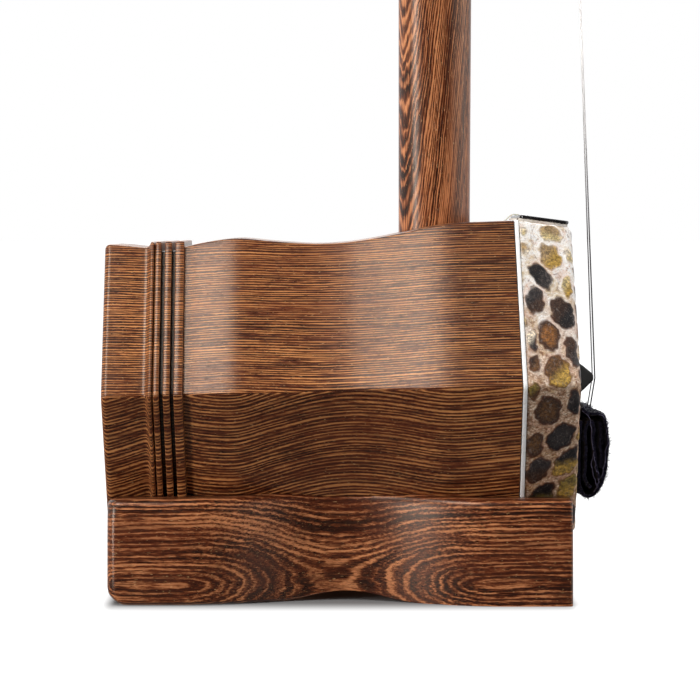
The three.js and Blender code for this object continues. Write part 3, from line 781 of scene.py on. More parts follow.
def random_scale(rng, t, d, dark):
    """One scale with colours drawn from the darker or the paler side of the skin."""
    palette = [BLACK, CHARCOAL, UMBER, BROWN, OLIVE] if dark else [TAN, STRAW, OLIVE, YELLOW, ORANGE]
    first, second = rng.choice(len(palette), 2)
    half = rng.uniform(2.7, 3.2), rng.uniform(2.6, 3.1)
    kind = "rim" if rng.random() < 0.4 else "end"
    return (t, d, *half, rng.uniform(-30, 30), palette[first], palette[second], kind)


def blotch(t, d):
    """Large soft patches that say where the skin is dark."""
    return math.sin(t * 0.13 + 1.3 * math.sin(d * 0.11)) + math.cos(d * 0.19 - 0.05 * t) > -0.25


def belt_scales():
    """The named scales, then a loose lattice of others that fills the room between and beyond them."""
    rows = [(t + BELT_FACE * face, d, *rest) for face, scales in NEAR_FACES.items() for t, d, *rest in scales]
    rng = np.random.default_rng(11)
    pitch = 6.7
    count = round(BELT_FACE * 6 / pitch)
    for r, d in enumerate([-2.6, 3.2, 8.9, 14.6]):
        for k in range(count):
            t = (k + 0.5 * (r % 2)) * BELT_FACE * 6 / count
            near = 2 * BELT_FACE - 2 < t < 4 * BELT_FACE + 1
            jitter = rng.uniform(-0.5, 0.5, 2)
            scale = random_scale(rng, t + jitter[0], d + jitter[1], blotch(t, d))
            if d < 0 or not near:
                rows.append(scale)
    for d in np.arange(0.5, 16, 1.5):
        for t in np.arange(2 * BELT_FACE, 4 * BELT_FACE, 1.5):
            gap = min(math.hypot((t - row[0]) / row[2], (d - row[1]) / row[3]) for row in rows)
            if gap > 2.1:
                pale = [CREAM, TAN, CREAM, STRAW] if t < 3.15 * BELT_FACE else [TAN, BROWN, OLIVE, CHARCOAL]
                first, second = rng.choice(len(pale), 2)
                rows.append((t, d, 1.7, 1.5, rng.uniform(-30, 30), pale[first], pale[second], "end"))
    return Scales(rows)


def face_scales():
    """A loose lattice of scales over the round middle of the skin's face."""
    rng = np.random.default_rng(23)
    rows = []
    pitch = 6.5
    for r in range(-7, 8):
        for k in range(-7, 8):
            y = (k + 0.5 * (r % 2)) * pitch
            z = r * pitch * COS_30
            jitter = rng.uniform(-0.4, 0.4, 2)
            scale = random_scale(rng, y + jitter[0], z + jitter[1], blotch(y * 1.4 + 20, z))
            depth = SKIN_FRONT_APOTHEM - max(abs(z), abs(z) / 2 + abs(y) * COS_30)
            if depth > 5.6:
                rows.append(scale)
    return Scales(rows)


def skin_profile():
    """[x, apothem] from the belt's rear edge, over the rounded edge and in to the middle of the face."""
    front_low = SKIN_FRONT_APOTHEM + 0.15
    belt = np.linspace([SKIN_REAR + 0.42, SKIN_REAR_APOTHEM], [SKIN_FRONT - SKIN_CORNER, front_low], 42)
    corner = arc((SKIN_FRONT - SKIN_CORNER, front_low - SKIN_CORNER), SKIN_CORNER, 90, 0, 8)
    edge = SKIN_FRONT_APOTHEM - SKIN_CORNER + 0.15
    face = [[SKIN_FRONT, a] for a in np.linspace(edge, 0.4, 76)]
    return np.array(belt.tolist() + corner[1:] + face[1:])


def hex_line(apothem, corner):
    """A rounded hexagon as [y, z] points, with the face and the share of the face that each lies on."""
    corner = min(corner, 0.3 * apothem)
    flat = (apothem - corner) * TAN_30
    points, shares, normals = [], [], []
    for i in range(6):
        normal, across = facet_axes(i)
        for t in np.linspace(-flat, flat, SKIN_FLAT_STEPS, endpoint=False):
            points.append(normal * apothem + across * t)
            shares.append(i + 0.5 + t / (2 * apothem * TAN_30))
            normals.append(normal)
        centre = normal * (apothem - corner) + across * flat
        for k in range(SKIN_CORNER_STEPS):
            turn = math.radians(60 * k / SKIN_CORNER_STEPS)
            outward = normal * math.cos(turn) + across * math.sin(turn)
            points.append(centre + outward * corner)
            reach = corner * math.tan(min(turn, math.radians(60) - turn))
            t = flat + reach if turn <= math.radians(30) else 2 * apothem * TAN_30 - flat - reach
            shares.append(i + 0.5 + t / (2 * apothem * TAN_30))
            normals.append(outward)
    return np.array(points), np.array(shares), np.array(normals)


def add_skin():
    """The skin as one sheet. Each point knows its colour, how far inside a scale it is and how pale it is."""
    profile = skin_profile()
    steps = np.linalg.norm(np.diff(profile, axis=0), axis=1)
    along = np.concatenate([[0], np.cumsum(steps)])
    front = np.argmin(np.abs(profile[:, 0] - (SKIN_FRONT - SKIN_CORNER * 0.3)))
    back_from_edge = along[front] - along + 0.6
    slopes = np.gradient(profile, axis=0)
    rings, belt, face, outward = [], [], [], []
    for (x, apothem), back, (run, rise) in zip(profile, back_from_edge, slopes):
        ring, shares, normals = hex_line(apothem, 1.7)
        ring[:, 0] = x
        rings.append(ring)
        belt.append(np.stack([shares * BELT_FACE, np.full(len(ring), back)], axis=1))
        face.append(ring[:, 1:])
        size = math.hypot(run, rise)
        outward.append(normals * (run / size) + np.array([-rise / size, 0, 0]))
    rings, outward = np.concatenate(rings), np.concatenate(outward)
    belt, face = np.concatenate(belt), np.concatenate(face)

    inside, color = belt_scales().nearest(crumpled(belt), wrap=6 * BELT_FACE)
    on_face = belt[:, 1] < 2
    inner, inner_color = face_scales().nearest(crumpled(face[on_face]))
    better = inner > inside[on_face]
    at = np.flatnonzero(on_face)[better]
    inside[at], color[at] = inner[better], inner_color[better]
    wobble = 0.1 * np.sin(belt[:, 0] * 2.3 + 2 * np.sin(belt[:, 1] * 1.9))
    inside = inside + wobble
    dome = 0.22 * ease(inside, -0.3, 0.9) - 0.12
    raised = rings + outward * dome[:, None]
    pallor = pallor_of(belt)

    sides = (SKIN_FLAT_STEPS + SKIN_CORNER_STEPS) * 6
    count = len(profile)
    faces = ring_faces(count, sides, caps=False)
    last = (count - 1) * sides
    faces.append(tuple(last + s for s in range(sides)))
    skin = add_mesh("python_skin_cover", box_to_row(raised), faces, 60,
                    {"inside": inside, "scale_color": color, "pallor": pallor})
    face_outward(skin)
    body = skin.modifiers.new("thickness", "SOLIDIFY")
    body.thickness = SKIN_THICKNESS * MM
    body.offset = -1
    apply_modifiers(skin)
    finish_piece(skin, skin_material(), "frame", "snakeskin", "python_skin")


def crumpled(points):
    """Points on the skin, shifted a little so that no scale keeps a perfect outline."""
    t, d = points.T
    shift_t = 0.3 * np.sin(1.31 * d + 1.9 * np.sin(0.77 * t)) + 0.1 * np.sin(2.9 * d + 1.3 * t)
    shift_d = 0.3 * np.sin(1.13 * t + 1.7 * np.sin(0.91 * d)) + 0.1 * np.sin(3.1 * t - 1.7 * d)
    return np.stack([t + shift_t, d + shift_d], axis=1)


def pallor_of(belt):
    """How pale the skin between the scales is: cream near the top of the belt, tan lower down."""
    from_top = np.abs((belt[:, 0] / BELT_FACE - 1.5 + 3) % 6 - 3) - 0.5
    return 1 - ease(from_top + 0.12 * np.sin(belt[:, 1] * 0.9 + belt[:, 0] * 0.3), 0.2, 1.15)


def skin_between_scales(g, place, edge, fine, speckle, streaks, pallor):
    """Wrinkled skin: cream to tan, with brown creases, veins and a pale raised rim round each scale."""
    low = g.ramp(fine, (0.34, srgb(132, 92, 68)), (0.47, srgb(206, 164, 132)), (0.58, srgb(252, 232, 208)))
    high = g.ramp(fine, (0.3, srgb(202, 166, 138)), (0.42, srgb(250, 240, 228)), (0.54, srgb(255, 254, 252)))
    net = g.mix(pallor, low, high)
    tan = g.noise(place, scale=0.16, detail=4.0, roughness=0.65, distortion=0.8, seed=33)
    net = g.mix(g.span(tan, 0.48, 0.62, 0.0, 0.7), net, srgb(206, 178, 126), "MULTIPLY")
    pink = g.noise(place, scale=0.22, detail=3.0, roughness=0.6, seed=39)
    net = g.mix(g.span(pink, 0.5, 0.66, 0.0, 0.6), net, srgb(226, 186, 172), "MULTIPLY")
    patch = g.times(g.span(streaks, 0.5, 0.64), g.math("SUBTRACT", 1.15, pallor))
    net = g.mix(g.times(patch, 0.8), net, srgb(112, 76, 44))
    crease = g.times(g.span(edge, -1.6, -0.9, 1.0, 0.0), g.span(streaks, 0.38, 0.5, 0.2, 0.75))
    net = g.mix(g.times(crease, g.span(pallor, 0.2, 1.0, 0.8, 0.3)), net, srgb(126, 84, 58))
    vein = g.times(g.span(wrinkles(g, place, edge), 0.6, 0.95), g.span(streaks, 0.42, 0.56))
    net = g.mix(g.times(vein, 0.7), net, srgb(110, 72, 54))
    rim = g.times(g.span(edge, -0.7, -0.35), g.span(edge, -0.15, 0.0, 1.0, 0.0))
    rim_color = g.mix(pallor, srgb(196, 160, 132), srgb(252, 244, 234))
    return g.mix(g.times(rim, g.span(speckle, 0.4, 0.6, 0.2, 0.85)), net, rim_color)


def wrinkles(g, place, edge):
    """Waves from -1 to 1 that run round the scales."""
    cloudy = g.noise(place, scale=0.3, detail=3.0, roughness=0.6, seed=9)
    return g.math("SINE", g.math("MULTIPLY_ADD", edge, 7.0, g.times(cloudy, 8.0)))


def scale_surface(g, place, edge, fine, speckle, streaks, pallor):
    """The scales: mottled, with dark streaks, pale specks as painted glints, pale grey patches as a painted
    sheen, and a brown outline that is fainter on pale skin.
    """
    scale = g.attribute("scale_color", "Color")
    mottle = g.ramp(fine, (0.32, (0.3, 0.28, 0.28)), (0.48, (0.9, 0.88, 0.86)), (0.62, (1.7, 1.6, 1.4)))
    scale = g.mix(1.0, scale, mottle, "MULTIPLY")
    scale = g.mix(g.span(streaks, 0.52, 0.64, 0.0, 0.6), scale, srgb(52, 38, 32))
    # painted glints: pale specks on the scales
    scale = g.mix(g.times(g.span(speckle, 0.6, 0.7), 0.3), scale, srgb(168, 150, 130))
    # painted sheen: pale grey patches on the scales
    painted_sheen = g.noise(g.scaled(place, (1.0, 1.0, 0.45)), detail=4.0, roughness=0.7, distortion=1.0, seed=44)
    scale = g.mix(g.times(g.span(painted_sheen, 0.56, 0.68), 0.45), scale, srgb(156, 144, 138))
    core = g.span(edge, 0.7, 2.0, 1.15, 0.9)
    scale = g.mix(1.0, scale, g.vector(core, core, core), "MULTIPLY")
    outline = g.times(g.span(edge, 0.35, 1.15, 1.0, 0.0, smooth=True), g.span(pallor, 0.1, 0.9, 0.7, 0.2))
    return g.mix(outline, scale, srgb(92, 52, 32))


def skin_material():
    """Mottled scales on wrinkled skin. The scales' edges are softer on pale skin."""
    g = Surface("python_skin_surface")
    place = g.place()
    pallor = g.attribute("pallor")
    fine = g.noise(place, scale=1.25, detail=5.0, roughness=0.72, seed=4)
    speckle = g.noise(place, scale=3.0, roughness=0.6, seed=24)
    streaks = g.scaled(place, (0.7, 2.2, 1.2))
    streaks = g.noise(streaks, detail=4.0, roughness=0.65, distortion=1.4, seed=14)
    edge = g.shifted(g.attribute("inside"), fine, 0.62)
    looks = (g, place, edge, fine, speckle, streaks, pallor)
    fade = g.span(pallor, 0.2, 1.0, 0.6, 1.1)
    shown = g.span(edge, -0.12, fade, smooth=True)
    color = g.mix(shown, skin_between_scales(*looks), scale_surface(*looks))
    height = g.math("MULTIPLY_ADD", fine, 0.5, g.times(wrinkles(g, place, edge), 0.12))
    roughness = g.span(fine, 0.3, 0.7, 0.3, 0.55)
    return g.finish(color, roughness, g.bump(height, 0.18, 0.8),
                    Specular_IOR_Level=0.35, Coat_Weight=0.06, Coat_Roughness=0.3)


# ---- Binding and identity plate ----

BINDING_REAR = 21.75
BINDING_FRONT = 22.9


def add_binding():
    """The plastic strip over the joint between the wood and the skin: a closed band with soft edges."""
    rear, front = BINDING_REAR, BINDING_FRONT
    outer = BINDING_APOTHEM + 0.1
    inner = SKIN_REAR_APOTHEM - SKIN_THICKNESS
    section = [[rear, inner], [rear, outer - 0.25], [rear + 0.1, outer - 0.07], [rear + 0.3, outer],
               [front - 0.3, outer], [front - 0.1, outer - 0.07], [front, outer - 0.25], [front, inner]]
    rings = []
    for x, apothem in section + section[:1]:
        ring, _, _ = hex_line(apothem, 1.6)
        ring[:, 0] = x
        rings.append(ring[::3])
    rings = np.array(rings)
    count, sides = rings.shape[:2]
    faces = ring_faces(count - 1, sides, caps=False)
    last = (count - 2) * sides
    faces += [(last + s, last + (s + 1) % sides, (s + 1) % sides, s) for s in range(sides)]
    binding = add_mesh("skin_binding_strip", on_row(rings[:-1]).reshape(-1, 3), faces, 50)
    face_outward(binding)
    colors = srgb(255, 254, 252), srgb(232, 226, 216)
    noise = {"scale": 0.9, "detail": 4.0, "roughness": 0.7, "seed": 3}
    plastic = speckled("binding_plastic", colors, (0.52, 0.78), (0.25, 0.42), (0.03, 0.4), noise)
    finish_piece(binding, plastic, "frame", "binding_white", "skin_edge_binding")


def rounded_box(centre, size, radius, edge=0.15, tilt=0.0):
    """Rings of a flat plate with round corners and softened edges, turned by tilt about Y."""
    length, width, height = size
    levels = [(-height / 2, -edge), (-height / 2 + edge, 0), (height / 2 - edge, 0), (height / 2, -edge)]
    rings = []
    for z, inset in levels:
        ring = round_corners(length / 2 - radius, width / 2 - radius, radius + inset, 6)
        rings.append([[x * math.cos(tilt) + z * math.sin(tilt), y, z * math.cos(tilt) - x * math.sin(tilt)]
                      for x, y in ring])
    return np.array(rings) + np.array(centre)


PLATE_MIDDLE = 7.5    # from the skin's rear edge to the plate's middle
PIN_SIDE = 18.6
PIN_BACK = 5.4
PIN_LIFT = 1.85


def add_plate():
    """A black enamelled plate on a pale pad, with a bent clip at one rear corner and two round pins."""
    slope = (SKIN_REAR_APOTHEM - SKIN_FRONT_APOTHEM) / (SKIN_FRONT - SKIN_REAR - SKIN_CORNER)
    tilt = math.atan(slope)
    middle = SKIN_REAR + PLATE_MIDDLE
    top = SKIN_REAR_APOTHEM - PLATE_MIDDLE * slope
    along = np.array([math.cos(tilt), 0, -math.sin(tilt)])
    up = np.array([math.sin(tilt), 0, math.cos(tilt)])

    def place(forward=0.0, lift=0.0, y=0.0):
        return np.array([middle, y, top]) + along * forward + up * lift

    def on_facet(length, width, height, radius, edge, forward, lift):
        return on_row(rounded_box(place(forward, lift), (length, width, height), radius, edge, tilt))

    pad = add_loft("plate_pad", on_facet(14.2, 38.8, 0.8, 1.0, 0.1, 0.0, 0.55))
    colors = srgb(196, 184, 168), srgb(240, 234, 226)
    noise = {"scale": 2.2, "detail": 4.0, "roughness": 0.7, "seed": 31}
    felt = speckled("plate_pad_felt", colors, (0.3, 0.7), 0.85, (0.08, 0.7), noise)
    finish_piece(pad, felt, "frame", "binding_white")

    plate = add_loft("plate_black_face", on_facet(13.9, 39.3, 0.95, 1.2, 0.2, 0.3, 1.42))
    g = Surface("plate_enamel")
    haze = g.noise(g.place(), scale=0.7, detail=4.0, roughness=0.7, seed=8)
    color = g.mix(g.span(haze, 0.4, 0.7), srgb(9, 8, 9), srgb(34, 30, 31))
    finish_piece(plate, g.finish(color, g.span(haze, 0.3, 0.7, 0.16, 0.32), Coat_Weight=0.3),
                 "frame", "plate_black", "identity_plate")

    line = spline([[-10.7, -0.3], [-10.0, 0.5], [-9.2, 1.35], [-8.5, 1.72], [-6.9, 1.8]], 6)
    section = [[-0.16, -19.6], [-0.16, -14.0], [0.16, -14.0], [0.16, -19.6]]
    rings = [[place(forward, lift + h, y) for h, y in section] for forward, lift in line]
    clip = add_loft("plate_corner_clip", on_row(rings))
    finish_piece(clip, bone("plate_clip_enamel", srgb(206, 208, 202), 17), "frame", "steel")
    for name, side in (("near", -1), ("far", 1)):
        dome = [[1.0 * math.sin(t), 0.3 * math.cos(t)] for t in np.linspace(math.pi / 2, 0.05, 6)]
        rings = [[place(x - PIN_BACK, h + PIN_LIFT, side * PIN_SIDE + y) for x, y in circle(r, 20)]
                 for r, h in dome]
        pin = add_loft(f"plate_pin_{name}", on_row(rings))
        finish_piece(pin, steel(f"plate_pin_{name}_steel", srgb(216, 216, 216), 0.2), "frame", "steel")


# ---- Rear sound window: a turned lattice of petals ----

WINDOW_PLACE = -84.5
WINDOW_HALF_THICKNESS = 1.1
WINDOW_EDGE = 0.35


def petal(inner, outer, from_turn, to_turn, steps=9):
    """A rounded opening between two radii and two turns, as [y, z] points."""
    middle = (inner + outer) / 2
    out = [(outer, t) for t in np.linspace(from_turn, to_turn, steps)]
    back = [(inner, t) for _, t in out[::-1]]
    corners = out + [(middle, to_turn)] + back + [(middle, from_turn)]
    points = np.array([[r * math.cos(t), r * math.sin(t)] for r, t in corners])
    for _ in range(2):
        ahead = np.roll(points, -1, axis=0)
        points = np.stack([0.75 * points + 0.25 * ahead, 0.25 * points + 0.75 * ahead], axis=1).reshape(-1, 2)
    return points


def add_window():
    """A thin wooden hexagon with a round hole, a ring of petals and a ring of twelve longer ones."""
    curve = bpy.data.curves.new("sound_window_lattice", "CURVE")
    curve.dimensions = "2D"
    curve.fill_mode = "BOTH"
    curve.extrude = WINDOW_HALF_THICKNESS * MM
    curve.bevel_depth = WINDOW_EDGE * MM
    curve.bevel_resolution = 2
    loops = [circle((CAVITY_APOTHEM - 0.7) / COS_30, 6), circle(3.0, 27)]
    for i in range(6):
        turn = math.pi * i / 3
        loops.append(petal(6, 13.5, turn - 0.42, turn + 0.42))
        loops.append(petal(17, 31.2, turn - 0.47, turn - 0.05))
        loops.append(petal(17, 31.2, turn + 0.05, turn + 0.47))
    for loop in loops:
        line = curve.splines.new("POLY")
        line.points.add(len(loop) - 1)
        for point, (y, z) in zip(line.points, loop):
            point.co = (y * MM, z * MM, 0, 1)
        line.use_cyclic_u = True
    flat = bpy.data.objects.new("sound_window_lattice", curve)
    bpy.context.collection.objects.link(flat)
    depsgraph = bpy.context.evaluated_depsgraph_get()
    mesh = bpy.data.meshes.new_from_object(flat.evaluated_get(depsgraph))
    bpy.data.objects.remove(flat)
    points = np.array([v.co for v in mesh.vertices]) / MM
    placed = box_to_row(np.stack([WINDOW_PLACE + points[:, 2], points[:, 0], points[:, 1]], axis=1))
    for vertex, place in zip(mesh.vertices, placed):
        vertex.co = Vector(place) * MM
    mesh.materials.clear()
    window = bpy.data.objects.new("sound_window", mesh)
    bpy.context.collection.objects.link(window)
    face_outward(window, join_within=0.002)
    mesh.set_sharp_from_angle(angle=math.radians(40))
    finish_piece(window, plain_wood("window_wood", srgb(30, 17, 12), srgb(74, 44, 28), (0, 0, 1), 6),
                 "frame", "ebony", "rear_sound_window")


# ---- Neck and head ----

PEG_HEIGHTS = {"lower": 600, "upper": 690}
PEG_TAPER = 0.022
PEG_SHAFT = 5.2
NECK_TOP = 722


def turned_rings(profile, z, sides=48):
    """Rings from a profile of [x, radius], turned about a line along X at height z."""
    turns = whole_turn(sides)
    return np.array([[[x, r * math.cos(t), z + r * math.sin(t)] for t in turns] for x, r in profile])


def add_neck():
    """The tenon in the base, then the flattened round bar, which thickens slightly above the soundbox."""
    rings = [oval(-6.2, 6.2, 9.6, 8), oval(-7, 7, 11, 8.8), oval(-7, 7, 11, 29.7),
             oval(NECK_BACK, NECK_FRONT_LOW, NECK_WIDTH, 29.75)]
    heights = [np.linspace(32, 105, 8), np.linspace(120, 180, 5), np.linspace(200, NECK_TOP, 40)]
    for z in np.concatenate(heights):
        front = NECK_FRONT_LOW + (NECK_FRONT_HIGH - NECK_FRONT_LOW) * np.clip((z - 105) / 75, 0, 1)
        rings.append(oval(NECK_BACK, front, NECK_WIDTH, z))
    neck = add_loft("neck_bar", rings, 50)
    cutters = []
    for name, z in PEG_HEIGHTS.items():
        profile = [(x, PEG_SHAFT - PEG_TAPER * x + 0.2) for x in (-16, 16)]
        cutters.append(add_loft(f"{name}_peg_hole", turned_rings(profile, z)))
    carve(neck, *cutters)
    timber = Timber((0, 0, 1), (-0.82, -0.57, 0.105), period=0.56, seed=50, wander=0.3, ripple=0.12,
                    break_up=0.6, width=0.58, stripes=0.62, bands=1.0, bright=WOOD_RED_LIGHT)
    finish_piece(neck, wood("neck_wood", timber), "frame", "neck_wood", "neck")


HEAD_END_DEPTH = 26
HEAD_END_WIDTH = 18
HEAD_LINE = [[0, NECK_TOP], [-0.5, 745], [-7, 770], [-21, 791], [-38, 804]]


def head_ring(line, t, grow=0.0, sides=56):
    """A section of the head, t of the way along its centre line."""
    at = t * (len(line) - 1)
    k = min(int(at), len(line) - 2)
    centre = line[k] + (line[k + 1] - line[k]) * (at - k)
    tangent = line[min(k + 2, len(line) - 1)] - line[max(k - 1, 0)]
    tangent /= np.linalg.norm(tangent)
    depth = (NECK_FRONT_HIGH - NECK_BACK) * (1 - t) + HEAD_END_DEPTH * t + grow
    width = NECK_WIDTH * (1 - t) + HEAD_END_WIDTH * t + grow
    ring = oval(-depth / 2, depth / 2, width, 0, sides)
    x, y = ring[:, 0], ring[:, 1]
    return np.stack([centre[0] + x * tangent[1], y, centre[1] - x * tangent[0] + 0.3], axis=1)


def add_head():
    """The swept-back head with its bone tip. Both have small soft edges where they meet."""
    line = resampled(spline(HEAD_LINE, 24), 161)
    stations = [(t, 0.0) for t in np.linspace(0, 0.957, 46)] + [(0.964, -0.25), (0.967, -0.9)]
    head = add_loft("curved_head", [head_ring(line, *station) for station in stations], 50)
    timber = Timber((-0.42, 0, 0.9), (-0.6, -0.7, 0.25), period=0.9, seed=61, wander=0.3, ripple=0.2)
    finish_piece(head, wood("head_wood", timber), "frame", "neck_wood", "head")
    stations = [(0.9675, -0.9), (0.97, -0.25), (0.975, 0.0), (0.992, 0.0), (0.9965, -0.5), (0.999, -1.6),
                (1.0, -3.4)]
    inlay = add_loft("head_bone_tip", [head_ring(line, *station) for station in stations], 50)
    finish_piece(inlay, bone("head_bone", srgb(240, 230, 206), 3), "frame", "bone", "head_inlay")


# ---- Base ----

BASE_REAR = -91.8
BASE_FRONT = 36.1
BASE_HALF_WIDTH = 43
BASE_WAIST_DEPTH = 13
BASE_PITH = (-BASE_HALF_WIDTH - 1.5, 6.0, 0.9)


def base_ring(x, inset=0.0):
    """A section across the base, drawn in by inset near its ends. Its lower edge is sharper to the front."""
    waist = float(swell((x + 28) / 45))
    half = BASE_HALF_WIDTH - BASE_WAIST_DEPTH * waist - inset
    rear_lift = 1.8 * float(1 - ease(x, BASE_REAR, BASE_REAR + 5))
    bottom = 2.4 * float(swell((x + 25) / 20)) + inset * 0.8 + rear_lift
    top = 29 + waist - inset * 0.5
    round_edge = 2.8 - 2.0 * float(ease(x, -70, 15))
    edge = [[half - round_edge * (1 - math.sin(t)), bottom + round_edge * (1 - math.cos(t))]
            for t in np.radians([0, 18, 36, 54, 72])]
    profile = spline([[half - 9, bottom]] + edge + [[half, bottom + 12], [half - 0.25, top - 6],
                     [half - 0.8, top - 2.2], [half - 1.7, top - 0.6], [half - 3.2, top]], 3)
    right = [[x, y, z] for y, z in profile]
    left = [[x, -y, z] for y, z in profile[::-1]]
    return right + left


def seat_cutter():
    """The soundbox's outline with a little clearance, to cut its cradle from the base."""
    keep = BOARD_PROFILE[(BOARD_PROFILE[:, 0] > -70.4) & (BOARD_PROFILE[:, 0] < 21.2)]
    line = [[-99, 0.01], [-99, 41.7], [-82.0, 41.7], [-81.0, 42.15], [-70.6, 42.15]]
    line += (keep + [0, 0.12]).tolist()
    line += [[21.2, 45.45], [22.9, 45.45], [23.2, 45.1], [44, 43.1], [44, 0.01]]
    rings = [[[x, y, z] for y, z in circle(apothem / COS_30, 6)] for x, apothem in line]
    return add_loft("seat_cutter", on_row(rings))


def add_base():
    """The waisted block. The soundbox's cradle, the neck's mortise and two screw recesses are cut from it."""
    stations = [(BASE_REAR, 2.6), (-91.6, 1.8), (-91.1, 1.0), (-90.2, 0.35), (-89.4, 0.1)]
    stations += [(-88.6, 0), (-87.4, 0)]
    stations += [(x, 0) for x in np.linspace(-86, 33, 70)]
    stations += [(35.2, 0.0), (35.8, 0.15), (36.0, 0.4), (BASE_FRONT, 0.8)]
    base = add_loft("base_block", [base_ring(x, inset) for x, inset in stations], 50)
    cutters = [seat_cutter(), add_loft("tenon_cutter", [oval(-7.1, 7.1, 11.2, z) for z in (7.6, 32)])]
    for x in (-19, -31):
        rings = [[[*point, z] for point in circle(4.5, 40, (x, 0))] for z in (-1, 5.4)]
        cutters.append(add_loft("screw_recess_cutter", rings))
    carve(base, *cutters)
    timber = Timber((1, 0, 0), pith=BASE_PITH, period=1.25, seed=77, wander=0.5, ripple=0.32,
                    break_up=0.6, width=0.46, shred=0.8, stripes=0.5, bands=0.9, bright=WOOD_RED_LIGHT)
    finish_piece(base, wood("base_block_wood", timber), "frame", "base_wood", "base")


# ---- Bridge ----

def add_bridge():
    """A small ebony bridge, hollowed under its middle, with a notch for each string."""
    steps = [(0, 11.3, 21), (0.5, 11.5, 21.2), (1.6, 11.0, 20.8), (3.0, 8.8, 19.2), (4.6, 6.4, 17.2),
             (6.0, 4.0, 15.4), (6.8, 2.7, 14.5), (7.15, 2.0, 14.1), (7.3, 1.3, 13.6)]
    rings = []
    for height, thick, width in steps:
        corner = min(0.8, thick * 0.32)
        ring = round_corners(width / 2 - corner, thick / 2 - corner, corner, 5)
        rings.append([[SKIN_FRONT + 0.12 + height, y, z - 0.5] for y, z in ring])
    bridge = add_loft("bridge_block", on_row(rings), 45)
    arch = [[[SKIN_FRONT - 1.2 + 2.6 * x, 5.0 * y, z] for x, y in circle(1, 32)] for z in (-9, 9)]
    cutters = [add_loft("bridge_arch_cutter", on_row(arch))]
    for side in (-1, 1):
        section = circle(0.3, 12, (SKIN_FRONT + 7.62, side * STRING_SPACING))
        notch = [[[*point, z] for point in section] for z in (-5, 5)]
        cutters.append(add_loft("bridge_notch_cutter", on_row(notch)))
    carve(bridge, *cutters)
    ebony = plain_wood("bridge_ebony", srgb(7, 5, 5), srgb(24, 18, 15), (0, 1, 0), 12, polish=0.12)
    finish_piece(bridge, ebony, "frame", "ebony", "bridge")


# ---- Strings ----

STRING_AT_BRIDGE = (45.95, 60.4)
STRING_AT_HOOK = (38.9, 16.4)
STRING_AT_NUT = (32.2, 445)
STRING_SPACING = 3.7
STRING_SPACING_AT_NUT = 3.2
WINDING_RADIUS = 6.5
WINDING_MIDDLE = 18.75


def string_line(side, peg_height):
    """From a loop on its pin, over the bridge and through the nut cord to the peg's winding."""
    hook_x, hook_z = STRING_AT_HOOK
    bridge_x, bridge_z = STRING_AT_BRIDGE
    y = side * STRING_SPACING
    pin_z = hook_z - 1.45
    loop = [[hook_x - 0.15, y + 1.12 * math.sin(t), pin_z + 1.12 * math.cos(t)]
            for t in np.radians(np.linspace(-320, 0, 26))]
    span = [[hook_x, y + side * 0.1, hook_z + 0.6]]
    span += np.linspace([hook_x + 0.1, y, hook_z + 1.6], [bridge_x - 0.14, y, bridge_z - 0.9], 12).tolist()
    span += [[bridge_x, y, bridge_z], [bridge_x - 0.04, y, bridge_z + 1]]
    nut_x, nut_z = STRING_AT_NUT
    nut = [nut_x + side * 0.7, side * STRING_SPACING_AT_NUT, nut_z]
    span += np.linspace(span[-1], nut, 30)[1:].tolist()
    end = [WINDING_MIDDLE, side * (WINDING_RADIUS + 0.3), peg_height]
    span += np.linspace(nut, end, 16)[1:].tolist()
    return np.array(loop + span)


def string_steel(name, seed):
    """Drawn wire with a painted reflection: dark grey and rougher low down, near the wood, and near white and
    smoother higher up, against the white backdrop.
    """
    g = Surface(name)
    place = g.place()
    scratches = g.noise(g.scaled(place, (0.8, 0.8, 0.1)), detail=3.0, roughness=0.6, seed=seed)
    # painted reflection: the height, shifted by the scratches, sets a dark grey colour low down and a
    # near-white one higher up
    painted_reflection_height = g.shifted(g.dot(place, (0, 0, 1)), scratches, 30.0)
    shade = g.mix(g.span(painted_reflection_height, 95.0, 165.0, smooth=True), srgb(92, 88, 92), srgb(232, 229, 226))
    roughness = g.span(painted_reflection_height, 95.0, 165.0, 0.6, 0.3)
    return g.finish(shade, roughness, g.bump(scratches, 0.008, 0.5), Metallic=1.0)


def add_strings():
    """Each string, and its free end wound round it above the hook."""
    for name, side, peg, radius in (("outer", 1, "lower", 0.17), ("inner", -1, "upper", 0.2)):
        points = string_line(side, PEG_HEIGHTS[peg])
        string = add_loft(f"{name}_steel_string", sweep(points, radius, 12), 60)
        finish_piece(string, string_steel(f"{name}_string_steel", 3 + side),
                     "frame", "string_steel", f"{name}_string")
        twist = twisted_tail(side)
        tail = add_loft(f"{name}_string_twist", sweep(twist, radius * 0.9, 8), 60)
        finish_piece(tail, steel(f"{name}_twist_steel", srgb(184, 180, 178), 0.2, (6, 6, 1.5), 5 + side),
                     "frame", "string_steel")


def twisted_tail(side):
    """The string's free end, wound round it just above the pin."""
    hook_x, hook_z = STRING_AT_HOOK
    slope = (STRING_AT_BRIDGE[0] - hook_x) / (STRING_AT_BRIDGE[1] - hook_z)
    points = []
    for k in range(90):
        height = 1.4 + k * 0.062
        turn = k * 0.5
        points.append([hook_x + height * slope + 0.42 * math.cos(turn),
                       side * STRING_SPACING + 0.42 * math.sin(turn), hook_z + height])
    return points


CORD_RADIUS = 0.6
CORD_TURNS = 6
CORD_PITCH = 1.28


